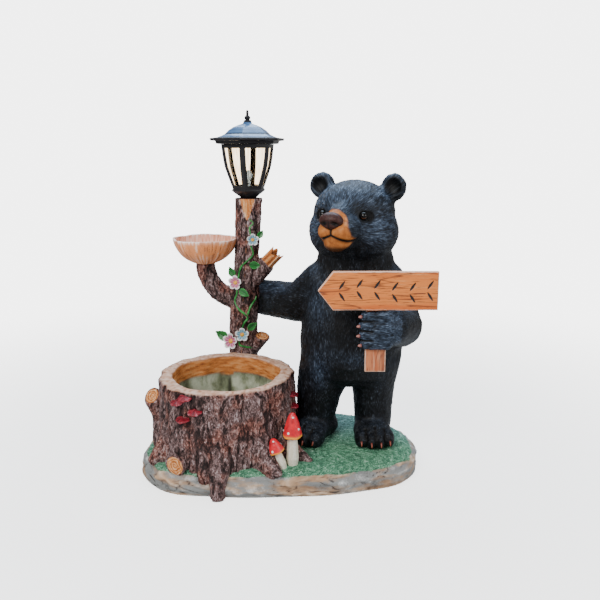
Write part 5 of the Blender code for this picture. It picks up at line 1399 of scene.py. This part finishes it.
BRACKET_RADIUS = 0.0155
BRACKET_THICKNESS = 0.009
BRACKETS = [(242.5, 0.955), (234.5, 0.895), (251, 0.83), (240, 0.735), (351, 0.80), (353, 0.665)]
BRACKET_REACH = np.array([(0, 0), (0.42, 0.94), (0.50, 1.0), (0.58, 0.95), (1, 0)])
BRACKET_LEVEL = np.array([
    (0, -0.45), (0.2, -0.40), (0.42, -0.22), (0.5, -0.05), (0.58, 0.20), (0.8, 0.38), (1, 0.5),
])


def bracket_skin(degrees, share, seed):
    angle = math.radians(degrees)
    height = share * RIM_HEIGHT
    out = float(stump_radius(np.array([angle]), np.array([height]))[0]) + 0.1 * BRACKET_RADIUS
    spot = STUMP_MIDDLE + np.array((out * math.cos(angle), out * math.sin(angle), height))
    turn_to = np.array(Matrix.Rotation(angle, 3, "Z") @ Matrix.Rotation(math.radians(12), 3, "Y"))

    def skin(turn, rise):
        around = math.tau * turn
        wave = 1 + 0.035 * np.sin(5 * around + seed) + 0.025 * np.sin(9 * around - seed)
        rays = uneven(ring(around) * 0.012 + seed, 0.0026, 121)
        places = ring(around) * (linear(BRACKET_REACH, 1, rise) * BRACKET_RADIUS * wave)[:, None]
        places[:, 2] = linear(BRACKET_LEVEL, 1, rise) * BRACKET_THICKNESS
        places[:, 2] += 0.0006 * rays * np.sin(math.pi * rise) - 0.0096 * (wave - 1)
        return places @ turn_to.T + spot, {"relief": 0.36 + 0.42 * rays + 0.18 * hump(rise - 0.5, 0.12)}

    return skin


paint = Paint("bracket fungus paint")
colour, speckle = paint.brushed((0.045, 0.001, 0.004), (0.25, 0.006, 0.018), (0.60, 0.24, 0.29), 0.0022)
paint.coat(colour, speckle, 0.0004, (0.32, 0.6), speckle)
for number, (degrees, share) in enumerate(BRACKETS, 1):
    piece = wrapped(f"bracket_casting_{number}", 60, 24, bracket_skin(degrees, share, 1.7 * number))
    finish_piece(piece, paint, "fungus_paint", f"bracket_fungus_{number}")

# Vine, leaves and flowers
# A green vine is modelled winding up the front of the trunk, with a side shoot, six leaves with raised veins
# and four five-petalled flowers, white-edged with pink or blue throats and yellow middles.

VINE_RADIUS = 0.0024
VINE_ROUTE = [
    (0.919, 8), (0.905, 24), (0.888, 11), (0.870, 13), (0.838, 22), (0.809, 20), (0.780, 32), (0.758, 12),
    (0.733, -18), (0.707, -29), (0.650, -36), (0.615, -32), (0.585, -40), (0.556, -19), (0.520, 19),
    (0.491, 5), (0.440, -8), (0.404, -12), (0.394, 6), (0.388, 30), (0.382, 54),
]
SHOOT_ROUTE = [(0.604, 55), (0.590, 49), (0.574, 34), (0.556, 24), (0.530, 19)]
LEAVES = [
    (0.842, 58, 0.020, 60, 0.0022), (0.738, 14, 0.028, -10, 0.0010), (0.682, -62, 0.026, 115, 0.0022),
    (0.634, -22, 0.029, -25, 0.0010), (0.466, 22, 0.027, 35, 0.0010), (0.418, -62, 0.037, 150, 0.0060),
]
LEAF_WALL = 0.0013
FLOWERS = [
    (0.838, 24, 0.0135, 0.0005, "blue"), (0.662, -42, 0.0165, 0.0008, "pink"),
    (0.447, 0, 0.0158, 0.0008, "blue"), (0.414, -47, 0.0190, 0.0040, "pink"),
]


def on_trunk(height, degrees, out=0.0):
    angle = math.radians(degrees) - math.pi / 2
    direction = Vector((math.cos(angle), math.sin(angle), 0))
    radius = float(trunk_radius(np.array([angle]), np.array([height]))[0])
    return Vector(trunk_middle(height)[0]) + direction * (radius + out), direction


def facing(spot, out, turn_degrees=0.0):
    across = Vector((0, 0, 1)).cross(out).normalized()
    matrix = Matrix((across, out.cross(across), out)).transposed().to_4x4()
    return Matrix.Translation(spot) @ matrix @ Matrix.Rotation(math.radians(turn_degrees), 4, "Z")


def vine_skin(route):
    path = curve_through([on_trunk(share * TRUNK_TOP, degrees, 0.0012)[0] for share, degrees in route], 8)

    def skin(turn, rise):
        share = share_of(0.01, 0.99, rise)
        middle, ahead = along_path(path, share)
        close = share_of(0, 0.01, np.minimum(rise, 1 - rise))
        knots = uneven(middle, 0.011, 131) + 0.4 * uneven(middle, 0.004, 132)
        radius = VINE_RADIUS * (1.0 + 0.20 * knots) * close * (0.55 + 0.45 * between(0, 0.35, share))
        direction = round_path(ahead, math.tau * turn, (0.0, -1.0, 0.0))
        # The vine is painted paler on its front and darker on its side against the bark: painted highlight
        # and painted shade.
        return middle + direction * radius[:, None], {"relief": 0.5 + 0.3 * knots - 0.25 * direction[:, 1]}

    return skin


def leaf_piece(number, share, degrees, length, tip_turn, lift):
    """A leaf cut from a grid: drawn to a point, cupped, veined and thickened."""
    piece = new_piece(f"leaf_casting_{number}", bpy.ops.mesh.primitive_grid_add,
                      x_subdivisions=36, y_subdivisions=20, size=1)
    grid = places_of(piece)
    along = grid[:, 0] + 0.5
    side = grid[:, 1] * 2
    half = 0.36 * np.sin(math.pi * along**0.82) ** 0.9 * (1 - 0.25 * along) * length
    vein = hump(side, 0.10) + 0.6 * hump(np.sin(math.pi * (6 * along - 3.2 * np.abs(side))), 0.30)
    height = (0.0016 + 0.0022 * side**2 * np.sin(math.pi * along) - 0.0007 * vein
              + 0.0025 * between(0.6, 1.0, along))
    spot, out = on_trunk(share * TRUNK_TOP, degrees, lift)
    if abs(degrees) > 50:
        out = (0.2 * out + Vector((0, -0.9, 0.2))).normalized()
    local = np.column_stack([along * length, side * half, height])
    put_places(piece, moved(local, facing(spot, out, tip_turn)))
    edge = np.abs(side)
    store(piece, "relief", 0.42 + 0.30 * edge - 0.35 * np.clip(vein, 0, 1) + 0.2 * between(0.7, 1, edge))
    wall = piece.modifiers.new("Wall", "SOLIDIFY")
    wall.thickness = LEAF_WALL
    wall.offset = -1
    bpy.ops.object.modifier_apply(modifier="Wall")
    bpy.ops.object.shade_smooth()
    return piece


paint = Paint("leaf paint")
colour, speckle = paint.brushed((0.004, 0.042, 0.007), (0.010, 0.155, 0.022), (0.055, 0.36, 0.080), 0.003)
paint.coat(colour, speckle, 0.0004, (0.28, 0.5), speckle)
finish_piece(wrapped("vine_casting", 14, 260, vine_skin(VINE_ROUTE)), paint, "leaf_paint", "vine")
finish_piece(wrapped("vine_shoot_casting", 14, 60, vine_skin(SHOOT_ROUTE)), paint, "leaf_paint", "vine_shoot")
for number, leaf in enumerate(LEAVES, 1):
    finish_piece(leaf_piece(number, *leaf), paint, "leaf_paint", f"leaf_{number}")


def flower_skin(radius, matrix, seed):
    def skin(turn, rise):
        angle = math.tau * turn
        petal = np.abs(np.cos(2.5 * angle))
        reach = radius * 1.10 * (0.60 + 0.40 * petal**0.55)
        share = (2 * np.minimum(rise, 1 - rise)) ** 0.9
        rays = np.cos(10 * angle) * share
        cupped = 0.30 * share**2 + 0.10 * petal * np.sin(math.pi * share) + 0.05 * rays
        places = ring(angle) * (reach * share)[:, None]
        under = np.where(rise < 0.5, -0.0016 - 0.0010 * (1 - share), 0.0)
        places[:, 2] = radius * cupped + under + 0.0018 + 0.0003 * uneven(places + seed, 0.002, 141)
        return moved(places, matrix), {"relief": 0.5 + 0.4 * rays, "rim": share}

    return skin


def flower_paint(name, throat):
    paint = Paint(name)
    tone = paint.bands(paint.kept("rim"), (0.30, throat), (0.70, throat), (0.90, (0.90, 0.90, 0.88)))
    tone = paint.over(tone, (0.88, 0.88, 0.87), paint.bands(paint.kept("relief"), (0.3, 0), (0.95, 0.40)))
    paint.coat(tone, paint.noise(0.0012, 2.0), 0.0002, (0.35, 0.6), paint.noise(0.004))
    return paint


def flower_middle(name, radius, matrix):
    piece = new_piece(name, bpy.ops.mesh.primitive_uv_sphere_add, segments=28, ring_count=18, radius=1)
    local = places_of(piece)
    bumps = uneven(local, 0.30, 142)
    local = (local * (0.34 * radius, 0.34 * radius, 0.18 * radius) * (1 + 0.10 * bumps)[:, None]
             + (0, 0, 0.0026))
    put_places(piece, moved(local, matrix))
    store(piece, "relief", 0.5 + 0.5 * bumps)
    bpy.ops.object.shade_smooth()
    return piece


petal_paints = {
    "pink": flower_paint("pink flower paint", (0.46, 0.060, 0.19)),
    "blue": flower_paint("blue flower paint", (0.11, 0.34, 0.47)),
}
paint = Paint("flower middle paint")
tone = paint.bands(paint.kept("relief"), (0.2, (0.55, 0.16, 0.02)), (0.7, (0.90, 0.52, 0.06)))
paint.coat(tone, paint.noise(0.001, 2.0), 0.0003, (0.4, 0.6), paint.noise(0.003))
for number, (share, degrees, radius, lift, tint) in enumerate(FLOWERS, 1):
    spot, out = on_trunk(share * TRUNK_TOP, degrees, VINE_RADIUS + lift)
    matrix = facing(spot, (out * 0.75 + Vector((0, -0.6, 0.12))).normalized(), 90)
    petals = wrapped(f"flower_petals_{number}", 80, 36, flower_skin(radius, matrix, number))
    finish_piece(petals, petal_paints[tint], f"{tint}_flower_paint", f"flower_{number}")
    finish_piece(flower_middle(f"flower_middle_{number}", radius, matrix), paint, f"{tint}_flower_paint")

# Lantern
# A ready-made black plastic lantern head pressed on the trunk's top: a six-sided cage with clear panes inside
# it, a small lamp on its floor, and a stepped roof with a finial. The edges are softened as on a moulding.

CAGE_EDGE = 0.0005
ROOF_EDGE = 0.0008
EAVE_SHARE = 0.30
FINIAL_SPREAD = 1.4
BOW = 0.055
PANE_SHARE = 0.975


def moulded_copy(name, node, edge):
    """A copy of the lantern part with its edges rounded."""
    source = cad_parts[node]
    copy = source.copy()
    copy.data = source.data.copy()
    copy.name = name
    copy.data.name = name
    for key in list(copy.keys()):
        del copy[key]
    world = source.matrix_world.copy()
    copy.parent = None
    copy.matrix_world = world
    bpy.context.scene.collection.objects.link(copy)
    settle(copy)
    open_mesh()
    bpy.ops.mesh.remove_doubles(threshold=0.00002)
    bpy.ops.mesh.dissolve_limited(angle_limit=math.radians(1.0))
    close_mesh()
    if edge:
        soft = copy.modifiers.new("Soft edge", "BEVEL")
        soft.width = edge
        soft.segments = 2
        soft.limit_method = "ANGLE"
        soft.angle_limit = math.radians(25)
        bpy.ops.object.modifier_apply(modifier="Soft edge")
    bpy.ops.object.shade_smooth_by_angle(angle=math.radians(35))
    return copy


def spread_out(piece, axis, times):
    """Moves a piece's places away from an upright axis."""
    places = places_of(piece)
    places[:, :2] = axis + (places[:, :2] - axis) * np.reshape(times, (-1, 1))
    put_places(piece, places)


def bowed(piece, share=1.0):
    """Bows the cage's posts and the panes outward, so that the lantern narrows in a curve."""
    low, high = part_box("lantern_cage")
    bpy.ops.object.mode_set(mode="EDIT")
    for level in np.linspace(low[2], high[2], 16)[1:-1]:
        bpy.ops.mesh.select_all(action="SELECT")
        bpy.ops.mesh.bisect(plane_co=(0, 0, level), plane_no=(0, 0, 1))
    close_mesh()
    rise = share_of(low[2], high[2], places_of(piece)[:, 2])
    bow = 1 + BOW * np.sin(math.pi * share_of(0.2, 0.95, rise))
    spread_out(piece, (np.array(low[:2]) + np.array(high[:2])) / 2, share * bow)


lantern_paint = Paint("black lantern plastic")
black = lantern_paint.blotched(0.02, 3.0, (0.3, (0.015, 0.0145, 0.016)), (0.7, (0.024, 0.023, 0.026)))
lantern_paint.coat(black, lantern_paint.noise(0.006, 2.0), 0.00010, (0.26, 0.38),
                   lantern_paint.noise(0.012), 0.2)

roof_low, roof_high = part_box("lantern_roof")
roof_reflection_paint = Paint("lantern roof with painted sky reflection")
level = roof_reflection_paint.put("ShaderNodeSeparateXYZ", {"Vector": roof_reflection_paint.place}).outputs["Z"]
rise = roof_reflection_paint.put("ShaderNodeMapRange",
                      {"Value": level, "From Min": roof_low[2], "From Max": roof_high[2]})
# Painted reflection: the roof's black plastic is painted sky blue, standing in for the sky reflected in its
# gloss.
blue = roof_reflection_paint.blotched(0.03, 3.0, (0.3, (0.050, 0.120, 0.260)), (0.7, (0.095, 0.190, 0.350)))
# Painted shadow: dark lines round the roof at its two steps.
grooves = roof_reflection_paint.bands(rise.outputs[0], (0.425, 0), (0.455, 0.85), (0.495, 0.85), (0.525, 0), (0.62, 0),
                           (0.64, 0.6), (0.66, 0))
blue = roof_reflection_paint.over(blue, (0.010, 0.018, 0.034), grooves)
roof_reflection_paint.coat(blue, roof_reflection_paint.noise(0.008, 2.0), 0.00010, (0.16, 0.26), roof_reflection_paint.noise(0.02), 0.45)

cage = moulded_copy("lantern_cage_moulding", "lantern_cage", CAGE_EDGE)
bowed(cage)
finish_piece(cage, lantern_paint, "lantern_plastic", "lantern_cage")
roof = moulded_copy("lantern_roof_moulding", "lantern_roof", ROOF_EDGE)
bpy.ops.object.shade_smooth_by_angle(angle=math.radians(9))
finish_piece(roof, roof_reflection_paint, "lantern_plastic", "lantern_roof")
roof.data.materials.append(lantern_paint.material)
eave_top = roof_low[2] + EAVE_SHARE * (roof_high[2] - roof_low[2])
for face in roof.data.polygons:
    face.material_index = int(face.center.z < eave_top)
finial = moulded_copy("lantern_finial_moulding", "lantern_finial", 0.0)
flat = places_of(finial)[:, :2]
spread_out(finial, (flat.min(axis=0) + flat.max(axis=0)) / 2, FINIAL_SPREAD)
finish_piece(finial, lantern_paint, "lantern_plastic", "lantern_finial")

paint = Paint("clear panes")
reeds = paint.bands(paint.noise(0.004, 2.0, (1, 1, 0.05)),
                    (0.35, (0.80, 0.66, 0.47)), (0.62, (1.0, 0.93, 0.82)))
paint.shade(Base_Color=reeds, Roughness=0.03, Transmission_Weight=1.0, IOR=1.02)
panes = moulded_copy("lantern_panes_moulding", "lantern_glazing", 0.0)
bowed(panes, PANE_SHARE)
finish_piece(panes, paint, "clear_panes", "lantern_glazing")

paint = Paint("lamp plastic")
tone = paint.blotched(0.006, 3.0, (0.3, (0.13, 0.18, 0.26)), (0.7, (0.30, 0.40, 0.54)))
paint.shade(Base_Color=tone, Roughness=0.14, Transmission_Weight=0.55, IOR=1.3)
lamp = moulded_copy("lantern_lamp_moulding", "lantern_lamp", 0.0)
finish_piece(lamp, paint, "lamp_plastic", "lantern_lamp")

# Floor, light and camera
# A plain pale floor that melts into a white studio, soft light from the upper left and from above, and the
# camera where the photograph was taken.

FLOOR_GREY = (0.92, 0.92, 0.92)
CAMERA_PLACE = (0.045, -1.45, 0.715)
CAMERA_TILT = 77.0
CAMERA_LENS = 39.6

floor = new_piece("floor", bpy.ops.mesh.primitive_plane_add, size=8, location=(0, 0, -0.0005))
paint = Paint("floor")
spread = paint.put("ShaderNodeVectorMath", {0: paint.place}, operation="LENGTH").outputs["Value"]
melt = paint.put("ShaderNodeMapRange", {
    "Value": spread, "From Min": 0.45, "From Max": 1.9, "To Min": 0.55, "To Max": 0.0,
}, interpolation_type="SMOOTHSTEP")
paint.shade(Base_Color=FLOOR_GREY, Roughness=0.9, Specular_IOR_Level=0.1, Alpha=melt.outputs[0])
floor.data.materials.append(paint.material)

world = bpy.data.worlds.new("studio")
world.use_nodes = True
studio = Nodes(world.node_tree)
background = studio.tree.nodes["Background"]
ray = studio.put("ShaderNodeLightPath").outputs
seen = studio.maths("MAXIMUM", ray["Is Camera Ray"], ray["Is Transmission Ray"])
studio.feed(background.inputs["Color"], (1.0, 1.0, 1.0))
studio.feed(background.inputs["Strength"], studio.maths("MULTIPLY_ADD", seen, 4.6, 0.40))
bpy.context.scene.world = world


def softbox(name, place, target, size, power, colour=(1, 1, 1)):
    bpy.ops.object.light_add(type="AREA", location=place)
    light = bpy.context.object
    light.name = name
    light.data.size = size
    light.data.energy = power
    light.data.color = colour
    light.rotation_euler = (Vector(target) - Vector(place)).to_track_quat("-Z", "Y").to_euler()


softbox("key_light", (-1.1, -1.9, 2.1), (0, 0, 0.35), 1.3, 78, (1.0, 0.985, 0.96))
softbox("side_light", (1.9, -1.2, 1.3), (0.1, 0, 0.4), 1.2, 24)
softbox("sky_light", (0.1, 0.9, 2.2), (0, 0, 0.4), 1.7, 62, (0.66, 0.82, 1.0))

bpy.ops.object.camera_add(location=CAMERA_PLACE, rotation=(math.radians(CAMERA_TILT), 0, 0))
camera = bpy.context.object
camera.data.lens = CAMERA_LENS
camera.data.sensor_width = 36
bpy.context.scene.camera = camera
